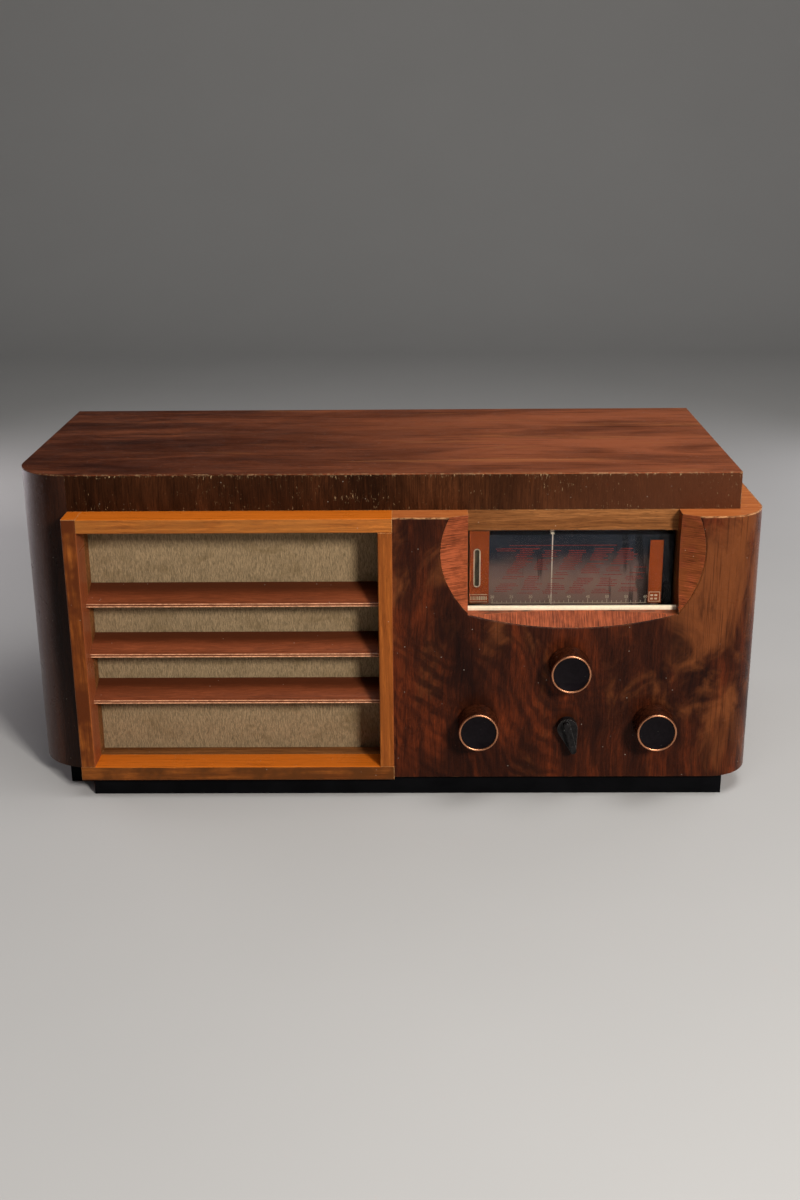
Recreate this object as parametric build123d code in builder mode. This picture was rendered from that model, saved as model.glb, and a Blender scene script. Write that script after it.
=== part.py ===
"""Wooden table radio of the late 1930s: veneered cabinet, louvred loudspeaker grille, glass dial
with a cord-driven pointer, four controls, loudspeaker and valve chassis.

Millimetres. X runs to the right seen from the front, Y to the back, Z up. The origin is at the
middle of the whole outline (knobs included), on the surface the radio stands on.
"""

import os
from math import acos, atan2, cos, degrees, hypot, radians, sin, tan

from build123d import *

os.makedirs("parts", exist_ok=True)

# ---------------------------------------------------------------- driving dimensions
TOP_WIDTH = 600.0  # the top, left to right
HEIGHT = 281.0  # plinth included
CABINET_DEPTH = 261.0  # fascia to back edge
SIDE_OVERLAY = 20.0  # how far the wrapped panel stands out at the right
PANEL_PROUD = 24.0  # wrapped panel in front of the fascia
FRAME_PROUD = 26.0  # grille frame in front of the fascia
KNOB_REACH = 23.0  # knob face in front of the wrapped panel
PLINTH_HEIGHT = 17.0
FASCIA_HEIGHT = 31.0
WALL = 12.0
VENEER = 0.8
TOP_VENEER = 1.0
LEFT_CORNER_RADIUS = 45.0
RIGHT_CORNER_RADIUS = 37.0

LEFT = -(TOP_WIDTH + SIDE_OVERLAY) / 2
RIGHT = -LEFT
TOP_RIGHT = LEFT + TOP_WIDTH
TOTAL_DEPTH = CABINET_DEPTH + PANEL_PROUD + KNOB_REACH
BACK = TOTAL_DEPTH / 2
FRONT = BACK - CABINET_DEPTH  # front of the fascia
PANEL_FACE = FRONT - PANEL_PROUD
FRAME_FACE = FRONT - FRAME_PROUD
KNOB_FACE = PANEL_FACE - KNOB_REACH
BOARD_THICKNESS = 14.5
BOARD_FACE = FRONT  # front board, behind frame and panel
BOARD_BACK = BOARD_FACE + BOARD_THICKNESS
LEDGE = HEIGHT - FASCIA_HEIGHT  # underside of the fascia
UNDER_VENEER = HEIGHT - TOP_VENEER
TOP_BOARD_UNDERSIDE = UNDER_VENEER - WALL
BOTTOM_BOARD_TOP = PLINTH_HEIGHT + 10.0
INNER_LEFT = LEFT + WALL
INNER_RIGHT = TOP_RIGHT - WALL

# grille
FRAME_LEFT = LEFT + LEFT_CORNER_RADIUS
FRAME_RIGHT = 4.0
RAIL = 12.0
GRILLE_LEFT = FRAME_LEFT + RAIL
GRILLE_RIGHT = FRAME_RIGHT - RAIL
GRILLE_BOTTOM = PLINTH_HEIGHT + 12.5
GRILLE_TOP = LEDGE - RAIL
SLAT_HEIGHTS = (172.8, 127.8, 85.4)  # top of each front edge
SLAT_TILT = 24.0
SLAT_THICKNESS = 4.0
SLAT_FRONT = FRONT - 10.5
SLAT_GAP = 0.6  # between slat and cloth
CLOTH_TUCK = 3.0  # how far the cloth runs in from the frame's outer edges
CLOTH_THICKNESS = 0.8
CLOTH_FACE = BOARD_BACK
BAFFLE_FACE = CLOTH_FACE + CLOTH_THICKNESS
BAFFLE_THICKNESS = 8.0
BAFFLE_BACK = BAFFLE_FACE + BAFFLE_THICKNESS
SPEAKER_X = (GRILLE_LEFT + GRILLE_RIGHT) / 2
SPEAKER_Z = (GRILLE_BOTTOM + GRILLE_TOP) / 2

# dial window and controls
WINDOW_X = (66.0, 240.0)
WINDOW_CENTRE = (WINDOW_X[0] + WINDOW_X[1]) / 2
WINDOW_HALF = (WINDOW_X[1] - WINDOW_X[0]) / 2
PANEL_SILL = 166.0  # bottom of the window in the wrapped panel
BOARD_WINDOW_Z = (163.0, 232.0)  # the same window in the board behind
GOUGE_DEPTH = 12.0  # deepest at the window's edge, running out on the face
SIDE_GOUGE_Z = 219.5
SIDE_GOUGE_HALF = 53.5
LEFT_GOUGE_REACH = 24.5
RIGHT_GOUGE_REACH = 20.5
LOWER_GOUGE_REACH = 12.0
GOUGE_RUN = 30.0  # length of each gouging cut, well past the face
BEYOND = 2.0  # how far a cut is carried past the surface it breaks through
CONTROLS = {
    "tuning": (150.7, 122.0),
    "volume": (75.0, 70.0),
    "tone": (223.5, 69.5),
    "wave_band": (150.5, 67.0),
}
SHAFT_RADIUS = 3.0
RUNNING_CLEARANCE = 0.08
SHAFT_HOLE_RADIUS = 6.0

# dial drive
GLASS_THICKNESS = 2.5
GLASS_FACE = FRONT - 6.0
GLASS_X = (67.0, 237.0)
GLASS_TOP = 233.5
STRIP_Y = (FRONT - 11.0, FRONT - 7.0)
STRIP_HEIGHT = 3.2
TRAY_X = (68.0, 238.0)
TRAY_Z = (164.0, 227.0)
TRAY_Y = FRONT + 5.0
POINTER_X = 136.5
POINTER_Y = FRONT - 0.5
POINTER_ARM_Z = 229.5  # between the tray and the top of the window
BACKPLATE_Y = FRONT + 27.0
SHEET = 1.2
CORD_Y = FRONT + 36.0
CORD_RADIUS = 0.4
PULLEY_Z = 240.0
PULLEY_LEFT_X = 50.0
PULLEY_RIGHT_X = 256.0
PULLEY_PITCH_RADIUS = 6.6
DRUM_X = 215.0
DRUM_Z = 140.0
DRUM_PITCH_RADIUS = 40.2
SPINDLE_PITCH_RADIUS = 4.0
POINTER_TO_LOW_END = 46.5  # pointer travel left of its resting place

# chassis
CHASSIS_LEFT, CHASSIS_RIGHT = 8.0, 268.0
CHASSIS_FRONT, CHASSIS_BACK = FRONT + 40.0, FRONT + 220.0
CHASSIS_TOP = 90.0
CHASSIS_SHEET = 1.5

BACK_COVER_THICKNESS = 3.0
BACK_COVER_Y = BACK - 1.5 - BACK_COVER_THICKNESS
CLEAT = 15.0
BACK_SCREW_X = (INNER_LEFT + CLEAT / 2, (INNER_LEFT + INNER_RIGHT) / 2, INNER_RIGHT - CLEAT / 2)
BACK_SCREW_Z = (BOTTOM_BOARD_TOP + CLEAT / 2, TOP_BOARD_UNDERSIDE - CLEAT / 2)


def upright(y):
    """A plane facing the front, at depth y: its x is X and its y is Z."""
    return Plane.XZ.offset(-y)


def axis_y(x, z):
    return Axis((x, 0, z), (0, 1, 0))


def block(x, y, z):
    """A plain board between the low and high ends given for each direction."""
    with BuildPart() as piece:
        with Locations(((x[0] + x[1]) / 2, (y[0] + y[1]) / 2, (z[0] + z[1]) / 2)):
            Box(x[1] - x[0], y[1] - y[0], z[1] - z[0])
    return piece


def turned(x, z, profile):
    """A piece turned about a front-to-back axis, from (radius, y) points."""
    with BuildPart() as piece:
        with BuildSketch(Plane.XY.offset(z)):
            with BuildLine():
                Polyline(*[(x + r, y) for r, y in profile], close=True)
            make_face()
        revolve(axis=axis_y(x, z))
    return piece


def save(piece, label):
    piece.part.label = label
    export_step(piece.part, f"parts/{label}.step")


# ---------------------------------------------------------------- cabinet
with BuildPart() as shaft_bores:
    with BuildSketch(upright(PANEL_FACE - BEYOND)):
        with Locations(*CONTROLS.values()):
            Circle(SHAFT_HOLE_RADIUS)
    extrude(amount=-(BOARD_BACK - PANEL_FACE + 2 * BEYOND))

with BuildPart() as left_side:
    corner = (LEFT + LEFT_CORNER_RADIUS, FRONT + LEFT_CORNER_RADIUS)
    with BuildSketch(Plane.XY.offset(PLINTH_HEIGHT)):
        with BuildLine():
            Line((INNER_LEFT, BACK), (LEFT, BACK))
            Line((LEFT, BACK), (LEFT, corner[1]))
            CenterArc(corner, LEFT_CORNER_RADIUS, 180, 90)
            Line((corner[0], FRONT), (corner[0], FRONT + WALL))
            CenterArc(corner, LEFT_CORNER_RADIUS - WALL, 180, 90)
            Line((INNER_LEFT, corner[1]), (INNER_LEFT, BACK))
        make_face()
    extrude(amount=UNDER_VENEER - PLINTH_HEIGHT)
save(left_side, "left_side")

save(block((INNER_RIGHT, TOP_RIGHT), (BOARD_BACK, BACK), (PLINTH_HEIGHT, UNDER_VENEER)), "right_side")
save(block((FRAME_LEFT, TOP_RIGHT), (FRONT, BOARD_BACK), (LEDGE, UNDER_VENEER)), "top_fascia")


def inner_board(bottom, thickness, label):
    """A board filling the cabinet between its sides, rounded at the front left corner."""
    with BuildPart() as board:
        with BuildSketch(Plane.XY.offset(bottom)):
            with BuildLine():
                Line((corner[0], BOARD_BACK), (INNER_RIGHT, BOARD_BACK))
                Line((INNER_RIGHT, BOARD_BACK), (INNER_RIGHT, BACK))
                Line((INNER_RIGHT, BACK), (INNER_LEFT, BACK))
                Line((INNER_LEFT, BACK), (INNER_LEFT, corner[1]))
                CenterArc(corner, LEFT_CORNER_RADIUS - WALL, 180, 90)
                Line((corner[0], FRONT + WALL), (corner[0], BOARD_BACK))
            make_face()
        extrude(amount=thickness)
    save(board, label)


inner_board(TOP_BOARD_UNDERSIDE, WALL, "top_board")
inner_board(PLINTH_HEIGHT, BOTTOM_BOARD_TOP - PLINTH_HEIGHT, "bottom_board")

with BuildPart() as top_veneer:
    with BuildSketch(Plane.XY.offset(UNDER_VENEER)):
        with BuildLine():
            Line((corner[0], FRONT), (TOP_RIGHT, FRONT))
            Line((TOP_RIGHT, FRONT), (TOP_RIGHT, BACK))
            Line((TOP_RIGHT, BACK), (LEFT, BACK))
            Line((LEFT, BACK), (LEFT, corner[1]))
            CenterArc(corner, LEFT_CORNER_RADIUS, 180, 90)
        make_face()
    extrude(amount=TOP_VENEER)
save(top_veneer, "top_veneer")

with BuildPart() as front_board:
    add(block((FRAME_LEFT, TOP_RIGHT), (BOARD_FACE, BOARD_BACK), (PLINTH_HEIGHT, LEDGE)).part)
    with BuildSketch(upright(BOARD_FACE - BEYOND)):
        with Locations((SPEAKER_X, SPEAKER_Z)):
            Rectangle(GRILLE_RIGHT - GRILLE_LEFT, GRILLE_TOP - GRILLE_BOTTOM)
        with Locations((WINDOW_CENTRE, sum(BOARD_WINDOW_Z) / 2)):
            Rectangle(2 * WINDOW_HALF, BOARD_WINDOW_Z[1] - BOARD_WINDOW_Z[0])
    extrude(amount=-(BOARD_THICKNESS + 2 * BEYOND), mode=Mode.SUBTRACT)
    add(shaft_bores.part, mode=Mode.SUBTRACT)
save(front_board, "front_board")

# the window through the wrapped panel, with a gouge running out from each side and from the sill
with BuildPart() as scoop:
    add(block(WINDOW_X, (PANEL_FACE - BEYOND, BOARD_FACE), (PANEL_SILL, LEDGE + BEYOND)).part)
    for edge_x, reach in ((WINDOW_X[0], -LEFT_GOUGE_REACH), (WINDOW_X[1], RIGHT_GOUGE_REACH)):
        with BuildSketch(Plane.YZ.offset(edge_x)):
            with BuildLine():
                ThreePointArc(
                    (PANEL_FACE, SIDE_GOUGE_Z - SIDE_GOUGE_HALF),
                    (PANEL_FACE + GOUGE_DEPTH, SIDE_GOUGE_Z),
                    (PANEL_FACE, SIDE_GOUGE_Z + SIDE_GOUGE_HALF),
                )
                Polyline(
                    (PANEL_FACE, SIDE_GOUGE_Z + SIDE_GOUGE_HALF),
                    (PANEL_FACE - BEYOND, SIDE_GOUGE_Z + SIDE_GOUGE_HALF),
                    (PANEL_FACE - BEYOND, SIDE_GOUGE_Z - SIDE_GOUGE_HALF),
                    (PANEL_FACE, SIDE_GOUGE_Z - SIDE_GOUGE_HALF),
                )
            make_face()
        extrude(amount=GOUGE_RUN, dir=(reach, -GOUGE_DEPTH, 0))
    with BuildSketch(Plane.XY.offset(PANEL_SILL)):
        with BuildLine():
            ThreePointArc(
                (WINDOW_X[0], PANEL_FACE),
                (WINDOW_CENTRE, PANEL_FACE + GOUGE_DEPTH),
                (WINDOW_X[1], PANEL_FACE),
            )
            Polyline(
                (WINDOW_X[1], PANEL_FACE),
                (WINDOW_X[1], PANEL_FACE - BEYOND),
                (WINDOW_X[0], PANEL_FACE - BEYOND),
                (WINDOW_X[0], PANEL_FACE),
            )
        make_face()
    extrude(amount=GOUGE_RUN, dir=(0, -GOUGE_DEPTH, -LOWER_GOUGE_REACH))

PANEL_BOTTOM = PLINTH_HEIGHT + 2.0
panel_corner = (RIGHT - RIGHT_CORNER_RADIUS, PANEL_FACE + RIGHT_CORNER_RADIUS)


def wrapped_layer(outer_skin, inner_x, inner_y, inner_radius):
    """A layer of the wrapped panel: outer_skin inside the outer face, down to its inner faces."""
    with BuildPart() as layer:
        with BuildSketch(Plane.XY.offset(PANEL_BOTTOM)):
            with BuildLine():
                Line((FRAME_RIGHT, inner_y), (FRAME_RIGHT, PANEL_FACE + outer_skin))
                Line((FRAME_RIGHT, PANEL_FACE + outer_skin), (panel_corner[0], PANEL_FACE + outer_skin))
                CenterArc(panel_corner, RIGHT_CORNER_RADIUS - outer_skin, 270, 90)
                Line((RIGHT - outer_skin, panel_corner[1]), (RIGHT - outer_skin, BACK))
                Line((RIGHT - outer_skin, BACK), (inner_x, BACK))
                if inner_radius:
                    Line((inner_x, BACK), (inner_x, panel_corner[1]))
                    CenterArc(panel_corner, inner_radius, 0, -90)
                    Line((panel_corner[0], inner_y), (FRAME_RIGHT, inner_y))
                else:
                    Line((inner_x, BACK), (inner_x, inner_y))
                    Line((inner_x, inner_y), (FRAME_RIGHT, inner_y))
            make_face()
        extrude(amount=LEDGE - PANEL_BOTTOM)
        add(scoop.part, mode=Mode.SUBTRACT)
        add(shaft_bores.part, mode=Mode.SUBTRACT)
    return layer


save(wrapped_layer(VENEER, TOP_RIGHT, BOARD_FACE, None), "front_panel")
save(
    wrapped_layer(0, RIGHT - VENEER, PANEL_FACE + VENEER, RIGHT_CORNER_RADIUS - VENEER),
    "front_panel_veneer",
)

PLINTH_STRIP = 18.0
PLINTH_LEFT = LEFT + 27.0
PLINTH_STEP = LEFT + 53.0
PLINTH_RIGHT = RIGHT - 24.0
PLINTH_FRONT = FRONT - 17.0
PLINTH_LEFT_FRONT = FRONT + 8.0
PLINTH_BACK = BACK - 12.0
PLINTH_STRIPS = [
    ((PLINTH_STEP, PLINTH_RIGHT), (PLINTH_FRONT, PLINTH_FRONT + PLINTH_STRIP)),
    ((PLINTH_LEFT, PLINTH_STEP + PLINTH_STRIP), (PLINTH_LEFT_FRONT, PLINTH_LEFT_FRONT + PLINTH_STRIP)),
    ((PLINTH_LEFT, PLINTH_LEFT + PLINTH_STRIP), (PLINTH_LEFT_FRONT, PLINTH_BACK)),
    ((PLINTH_RIGHT - PLINTH_STRIP, PLINTH_RIGHT), (PLINTH_FRONT, PLINTH_BACK)),
    ((PLINTH_LEFT, PLINTH_RIGHT), (PLINTH_BACK - PLINTH_STRIP, PLINTH_BACK)),
]
with BuildPart() as plinth:
    for strip_x, strip_y in PLINTH_STRIPS:
        add(block(strip_x, strip_y, (0, PLINTH_HEIGHT)).part)
save(plinth, "plinth")

# ---------------------------------------------------------------- back cover
SOCKET_CUTOUT_X = (24.0, 214.0)
SOCKET_CUTOUT_Z = (38.0, 82.0)
SOCKET_CUTOUT_CORNER = 6.0
VENT_RADIUS = 4.0
VENT_PITCH = 16.0
SPEAKER_VENTS = (SPEAKER_X, SPEAKER_Z, 9, 9)  # middle of the grid, then holes across and up
UPPER_VENTS = (138.0, 222.0, 12, 3)
LOWER_VENTS = (138.0, 118.0, 12, 2)
COVER_GAP = 0.5  # between the cover's edge and the cabinet
SCREW_RADIUS = 1.6
BACK_SCREWS_AT = [(x, z) for x in BACK_SCREW_X for z in BACK_SCREW_Z]

with BuildPart() as back_cover:
    with BuildSketch(upright(BACK_COVER_Y)):
        with Locations(((INNER_LEFT + INNER_RIGHT) / 2, (BOTTOM_BOARD_TOP + TOP_BOARD_UNDERSIDE) / 2)):
            Rectangle(
                INNER_RIGHT - INNER_LEFT - 2 * COVER_GAP,
                TOP_BOARD_UNDERSIDE - BOTTOM_BOARD_TOP - 2 * COVER_GAP,
            )
        with Locations((sum(SOCKET_CUTOUT_X) / 2, sum(SOCKET_CUTOUT_Z) / 2)):
            RectangleRounded(
                SOCKET_CUTOUT_X[1] - SOCKET_CUTOUT_X[0],
                SOCKET_CUTOUT_Z[1] - SOCKET_CUTOUT_Z[0],
                SOCKET_CUTOUT_CORNER,
                mode=Mode.SUBTRACT,
            )
        for vent_x, vent_z, across, up in (SPEAKER_VENTS, UPPER_VENTS, LOWER_VENTS):
            with Locations((vent_x, vent_z)):
                with GridLocations(VENT_PITCH, VENT_PITCH, across, up):
                    Circle(VENT_RADIUS, mode=Mode.SUBTRACT)
        with Locations(*BACK_SCREWS_AT):
            Circle(SCREW_RADIUS, mode=Mode.SUBTRACT)
    extrude(amount=-BACK_COVER_THICKNESS)
save(back_cover, "back_cover")

SCREW_LENGTH = 13.0
HEAD_RADIUS = 3.4
HEAD_HEIGHT = 1.4
SCREW_SLOT_WIDTH = 1.0
SCREW_SLOT_DEPTH = 0.7
with BuildPart() as back_cover_screws:
    with BuildSketch(upright(BACK_COVER_Y + BACK_COVER_THICKNESS)):
        with Locations(*BACK_SCREWS_AT):
            Circle(SCREW_RADIUS)
    extrude(amount=SCREW_LENGTH)
    with BuildSketch(upright(BACK_COVER_Y + BACK_COVER_THICKNESS)):
        with Locations(*BACK_SCREWS_AT):
            Circle(HEAD_RADIUS)
    extrude(amount=-HEAD_HEIGHT)
    with BuildSketch(upright(BACK_COVER_Y + BACK_COVER_THICKNESS + HEAD_HEIGHT)):
        with Locations(*BACK_SCREWS_AT):
            Rectangle(3 * HEAD_RADIUS, SCREW_SLOT_WIDTH)
    extrude(amount=SCREW_SLOT_DEPTH, mode=Mode.SUBTRACT)
save(back_cover_screws, "back_cover_screws")

with BuildPart() as back_cleats:
    cleat_y = BACK_COVER_Y - CLEAT / 2
    for cleat_x in (BACK_SCREW_X[0], BACK_SCREW_X[2]):
        with Locations((cleat_x, cleat_y, (BOTTOM_BOARD_TOP + TOP_BOARD_UNDERSIDE) / 2)):
            Box(CLEAT, CLEAT, TOP_BOARD_UNDERSIDE - BOTTOM_BOARD_TOP)
    for cleat_z in BACK_SCREW_Z:
        with Locations((BACK_SCREW_X[1], cleat_y, cleat_z)):
            Box(4 * CLEAT, CLEAT, CLEAT)
    with BuildSketch(upright(BACK_COVER_Y)):
        with Locations(*BACK_SCREWS_AT):
            Circle(SCREW_RADIUS)
    extrude(amount=SCREW_LENGTH, mode=Mode.SUBTRACT)
save(back_cleats, "back_cleats")

# ---------------------------------------------------------------- loudspeaker grille
ARRIS = 1.3


def frame_member(x, z):
    """One member of the grille frame, its long front edges eased."""
    with BuildPart() as member:
        with Locations(((x[0] + x[1]) / 2, (FRAME_FACE + BOARD_FACE) / 2, (z[0] + z[1]) / 2)):
            Box(x[1] - x[0], BOARD_FACE - FRAME_FACE, z[1] - z[0])
        long_axis = Axis.X if x[1] - x[0] > z[1] - z[0] else Axis.Z
        fillet(member.faces().sort_by(Axis.Y)[0].edges().filter_by(long_axis), ARRIS)
    return member


save(frame_member((FRAME_LEFT, GRILLE_LEFT), (GRILLE_BOTTOM, LEDGE)), "grille_stile_left")
save(frame_member((GRILLE_RIGHT, FRAME_RIGHT), (GRILLE_BOTTOM, GRILLE_TOP)), "grille_stile_right")
save(frame_member((GRILLE_LEFT, FRAME_RIGHT), (GRILLE_TOP, LEDGE)), "grille_rail_top")
save(frame_member((FRAME_LEFT, FRAME_RIGHT), (PLINTH_HEIGHT, GRILLE_BOTTOM)), "grille_rail_bottom")

SLAT_RUN = CLOTH_FACE - SLAT_GAP - SLAT_FRONT
rise = SLAT_RUN * tan(radians(SLAT_TILT))
for slat_name, slat_z in zip(("upper", "middle", "lower"), SLAT_HEIGHTS):
    with BuildPart() as slat:
        with BuildSketch(Plane.YZ.offset(GRILLE_LEFT)):
            with BuildLine():
                Polyline(
                    (SLAT_FRONT, slat_z),
                    (SLAT_FRONT + SLAT_RUN, slat_z + rise),
                    (SLAT_FRONT + SLAT_RUN, slat_z + rise - SLAT_THICKNESS),
                    (SLAT_FRONT + SLAT_THICKNESS * sin(radians(SLAT_TILT)), slat_z - SLAT_THICKNESS),
                    (SLAT_FRONT, slat_z - SLAT_THICKNESS * 0.75),
                    close=True,
                )
            make_face()
        extrude(amount=GRILLE_RIGHT - GRILLE_LEFT)
    save(slat, f"louvre_slat_{slat_name}")

CLOTH_LEFT, CLOTH_RIGHT = FRAME_LEFT + CLOTH_TUCK, FRAME_RIGHT - CLOTH_TUCK
CLOTH_BOTTOM, CLOTH_TOP = BOTTOM_BOARD_TOP, LEDGE - 2.0
save(
    block((CLOTH_LEFT, CLOTH_RIGHT), (CLOTH_FACE, BAFFLE_FACE), (CLOTH_BOTTOM, CLOTH_TOP)),
    "grille_cloth",
)

# ---------------------------------------------------------------- loudspeaker
CONE_OPENING_RADIUS = 86.0
BASKET_RADIUS = 101.0
BASKET_DEPTH = 62.0
POT_RADIUS = 43.0
POT_DEPTH = 58.0
COIL_RADIUS = 13.5
SPEAKER_HOLES_RADIUS = 94.0
SPEAKER_HOLE_RADIUS = 2.0
BASKET_LIP = 2.5
BASKET_WINDOWS = 6
BASKET_WINDOW_RADIUS = 64.0
BASKET_WINDOW = (46.0, 30.0)
BASKET_SHEET = 2.0
BASKET_SHOULDER = 12.0  # how far back the straight part of the basket runs
BASKET_SEAT_RADIUS = POT_RADIUS - 4
POLE_HOLE_RADIUS = COIL_RADIUS + 8
SPEAKER_SCREWS = 4

with BuildPart() as speaker_baffle:
    with BuildSketch(upright(BAFFLE_FACE)):
        with Locations(((CLOTH_LEFT + CLOTH_RIGHT) / 2, (CLOTH_BOTTOM + CLOTH_TOP) / 2)):
            Rectangle(CLOTH_RIGHT - CLOTH_LEFT, CLOTH_TOP - CLOTH_BOTTOM)
        with Locations((SPEAKER_X, SPEAKER_Z)):
            Circle(CONE_OPENING_RADIUS, mode=Mode.SUBTRACT)
            with PolarLocations(SPEAKER_HOLES_RADIUS, SPEAKER_SCREWS, start_angle=45):
                Circle(SPEAKER_HOLE_RADIUS, mode=Mode.SUBTRACT)
    extrude(amount=-BAFFLE_THICKNESS)
save(speaker_baffle, "speaker_baffle")

Y0 = BAFFLE_BACK
with BuildPart() as speaker_basket:
    add(
        turned(
            SPEAKER_X,
            SPEAKER_Z,
            [
                (CONE_OPENING_RADIUS, Y0),
                (BASKET_RADIUS, Y0),
                (BASKET_RADIUS, Y0 + BASKET_LIP),
                (CONE_OPENING_RADIUS + BASKET_SHEET, Y0 + BASKET_LIP),
                (CONE_OPENING_RADIUS + BASKET_SHEET, Y0 + BASKET_SHOULDER),
                (BASKET_SEAT_RADIUS, Y0 + BASKET_DEPTH - BASKET_SHEET),
                (BASKET_SEAT_RADIUS, Y0 + BASKET_DEPTH),
                (POLE_HOLE_RADIUS, Y0 + BASKET_DEPTH),
                (POLE_HOLE_RADIUS, Y0 + BASKET_DEPTH - BASKET_SHEET),
                (BASKET_SEAT_RADIUS - BASKET_SHEET, Y0 + BASKET_DEPTH - BASKET_SHEET),
                (CONE_OPENING_RADIUS, Y0 + BASKET_SHOULDER - 1),
            ],
        ).part
    )
    with BuildSketch(upright(Y0 + BASKET_SHOULDER + BASKET_SHEET)):
        with Locations((SPEAKER_X, SPEAKER_Z)):
            with PolarLocations(BASKET_WINDOW_RADIUS, BASKET_WINDOWS):
                SlotOverall(*BASKET_WINDOW, rotation=90)
    extrude(amount=-(BASKET_DEPTH - BASKET_SHOULDER - 3 * BASKET_SHEET), mode=Mode.SUBTRACT)
    with BuildSketch(upright(Y0)):
        with Locations((SPEAKER_X, SPEAKER_Z)):
            with PolarLocations(SPEAKER_HOLES_RADIUS, SPEAKER_SCREWS, start_angle=45):
                Circle(SPEAKER_HOLE_RADIUS)
    extrude(amount=-2 * BASKET_LIP, mode=Mode.SUBTRACT)
save(speaker_basket, "speaker_basket")

CONE_EDGE = CONE_OPENING_RADIUS - 2.5
CONE_PAPER = 0.8
NECK_Y = Y0 + 46
CAP_RADIUS = 0.7 * COIL_RADIUS
CAP_BULGE = 6.0
COIL_WALL = 0.4  # half the thickness of the voice coil's tube
COIL_END = NECK_Y + 24
SURROUND = ((8.0, 4.0), (5.0, 3.2), (2.5, 5.0), (0.0, 4.0))  # (in from the edge, back from the baffle)
save(
    turned(
        SPEAKER_X,
        SPEAKER_Z,
        [
            (0, NECK_Y - CAP_BULGE),
            (CAP_RADIUS, NECK_Y - 4),
            (COIL_RADIUS + 1, NECK_Y),
            *[(CONE_EDGE - inwards, Y0 + back) for inwards, back in SURROUND],
            *[(CONE_EDGE - inwards, Y0 + back + CONE_PAPER) for inwards, back in SURROUND[::-1]],
            (COIL_RADIUS + COIL_WALL, NECK_Y + 2),
            (COIL_RADIUS + COIL_WALL, COIL_END),
            (COIL_RADIUS - COIL_WALL, COIL_END),
            (COIL_RADIUS - COIL_WALL, NECK_Y + 2),
            (CAP_RADIUS, NECK_Y - 4 + CONE_PAPER),
            (0, NECK_Y - CAP_BULGE + CONE_PAPER),
        ],
    ),
    "speaker_cone",
)

POT_FRONT = Y0 + BASKET_DEPTH
POLE_FRONT = POT_FRONT - 3.0
GAP_END = POT_FRONT + 12.0
HALF_GAP = 1.6
save(
    turned(
        SPEAKER_X,
        SPEAKER_Z,
        [
            (0, POLE_FRONT),
            (COIL_RADIUS - HALF_GAP, POLE_FRONT),
            (COIL_RADIUS - HALF_GAP, GAP_END),
            (COIL_RADIUS + HALF_GAP, GAP_END),
            (COIL_RADIUS + HALF_GAP, POT_FRONT),
            (POT_RADIUS, POT_FRONT),
            (POT_RADIUS, POT_FRONT + POT_DEPTH),
            (0, POT_FRONT + POT_DEPTH),
        ],
    ),
    "speaker_magnet",
)

OUTPUT_CORE = (46.0, 24.0, 40.0)
OUTPUT_WINDING = (40.0, 40.0, 26.0)
OUTPUT_FOOT = (60.0, 24.0, 4.0)
OUTPUT_Y = POT_FRONT + POT_DEPTH / 2 - 1
OUTPUT_Z = SPEAKER_Z + POT_RADIUS
with BuildPart() as output_transformer:
    with Locations((SPEAKER_X, OUTPUT_Y, OUTPUT_Z + OUTPUT_FOOT[2] + OUTPUT_CORE[2] / 2)):
        Box(*OUTPUT_CORE)
        Box(*OUTPUT_WINDING)
    with Locations((SPEAKER_X, OUTPUT_Y, OUTPUT_Z + OUTPUT_FOOT[2] / 2)):
        Box(*OUTPUT_FOOT)
save(output_transformer, "output_transformer")

# ---------------------------------------------------------------- knobs and shafts
KNOB_BASE_RADIUS = 17.0
KNOB_FACE_RADIUS = 16.5
RIM_INNER_RADIUS = 14.0
DISH_DEPTH = 5.0
KNOB_GAP = 0.8  # between knob and panel
BORE_END = KNOB_FACE + 8.0
KNOB_BACK = PANEL_FACE - KNOB_GAP
SHAFT_END = {
    "tuning": CORD_Y + 6.0,
    "volume": CHASSIS_FRONT + 14.0,
    "tone": CHASSIS_FRONT + 14.0,
    "wave_band": CHASSIS_FRONT + 62.0,
}


def make_round_knob(name, x, z):
    save(
        turned(
            x,
            z,
            [
                (0, KNOB_FACE + DISH_DEPTH),
                (RIM_INNER_RADIUS, KNOB_FACE + DISH_DEPTH),
                (RIM_INNER_RADIUS, KNOB_FACE + 0.8),
                (RIM_INNER_RADIUS + 0.9, KNOB_FACE),
                (KNOB_FACE_RADIUS - 0.9, KNOB_FACE),
                (KNOB_FACE_RADIUS, KNOB_FACE + 0.9),
                (KNOB_BASE_RADIUS - 0.2, KNOB_BACK - 1),
                (KNOB_BASE_RADIUS, KNOB_BACK),
                (SHAFT_RADIUS, KNOB_BACK),
                (SHAFT_RADIUS, BORE_END),
                (0, BORE_END),
            ],
        ),
        f"{name}_knob",
    )
    seat = KNOB_FACE + DISH_DEPTH
    rim = RIM_INNER_RADIUS - 0.05
    dish = [(rim * t, seat - 1.2 - 2.2 * t * t) for t in (1, 0.86, 0.72, 0.57, 0.4, 0.2, 0)]
    save(turned(x, z, [(0, seat), (rim, seat)] + dish), f"{name}_knob_insert")


for control in ("tuning", "volume", "tone"):
    make_round_knob(control, *CONTROLS[control])

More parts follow.
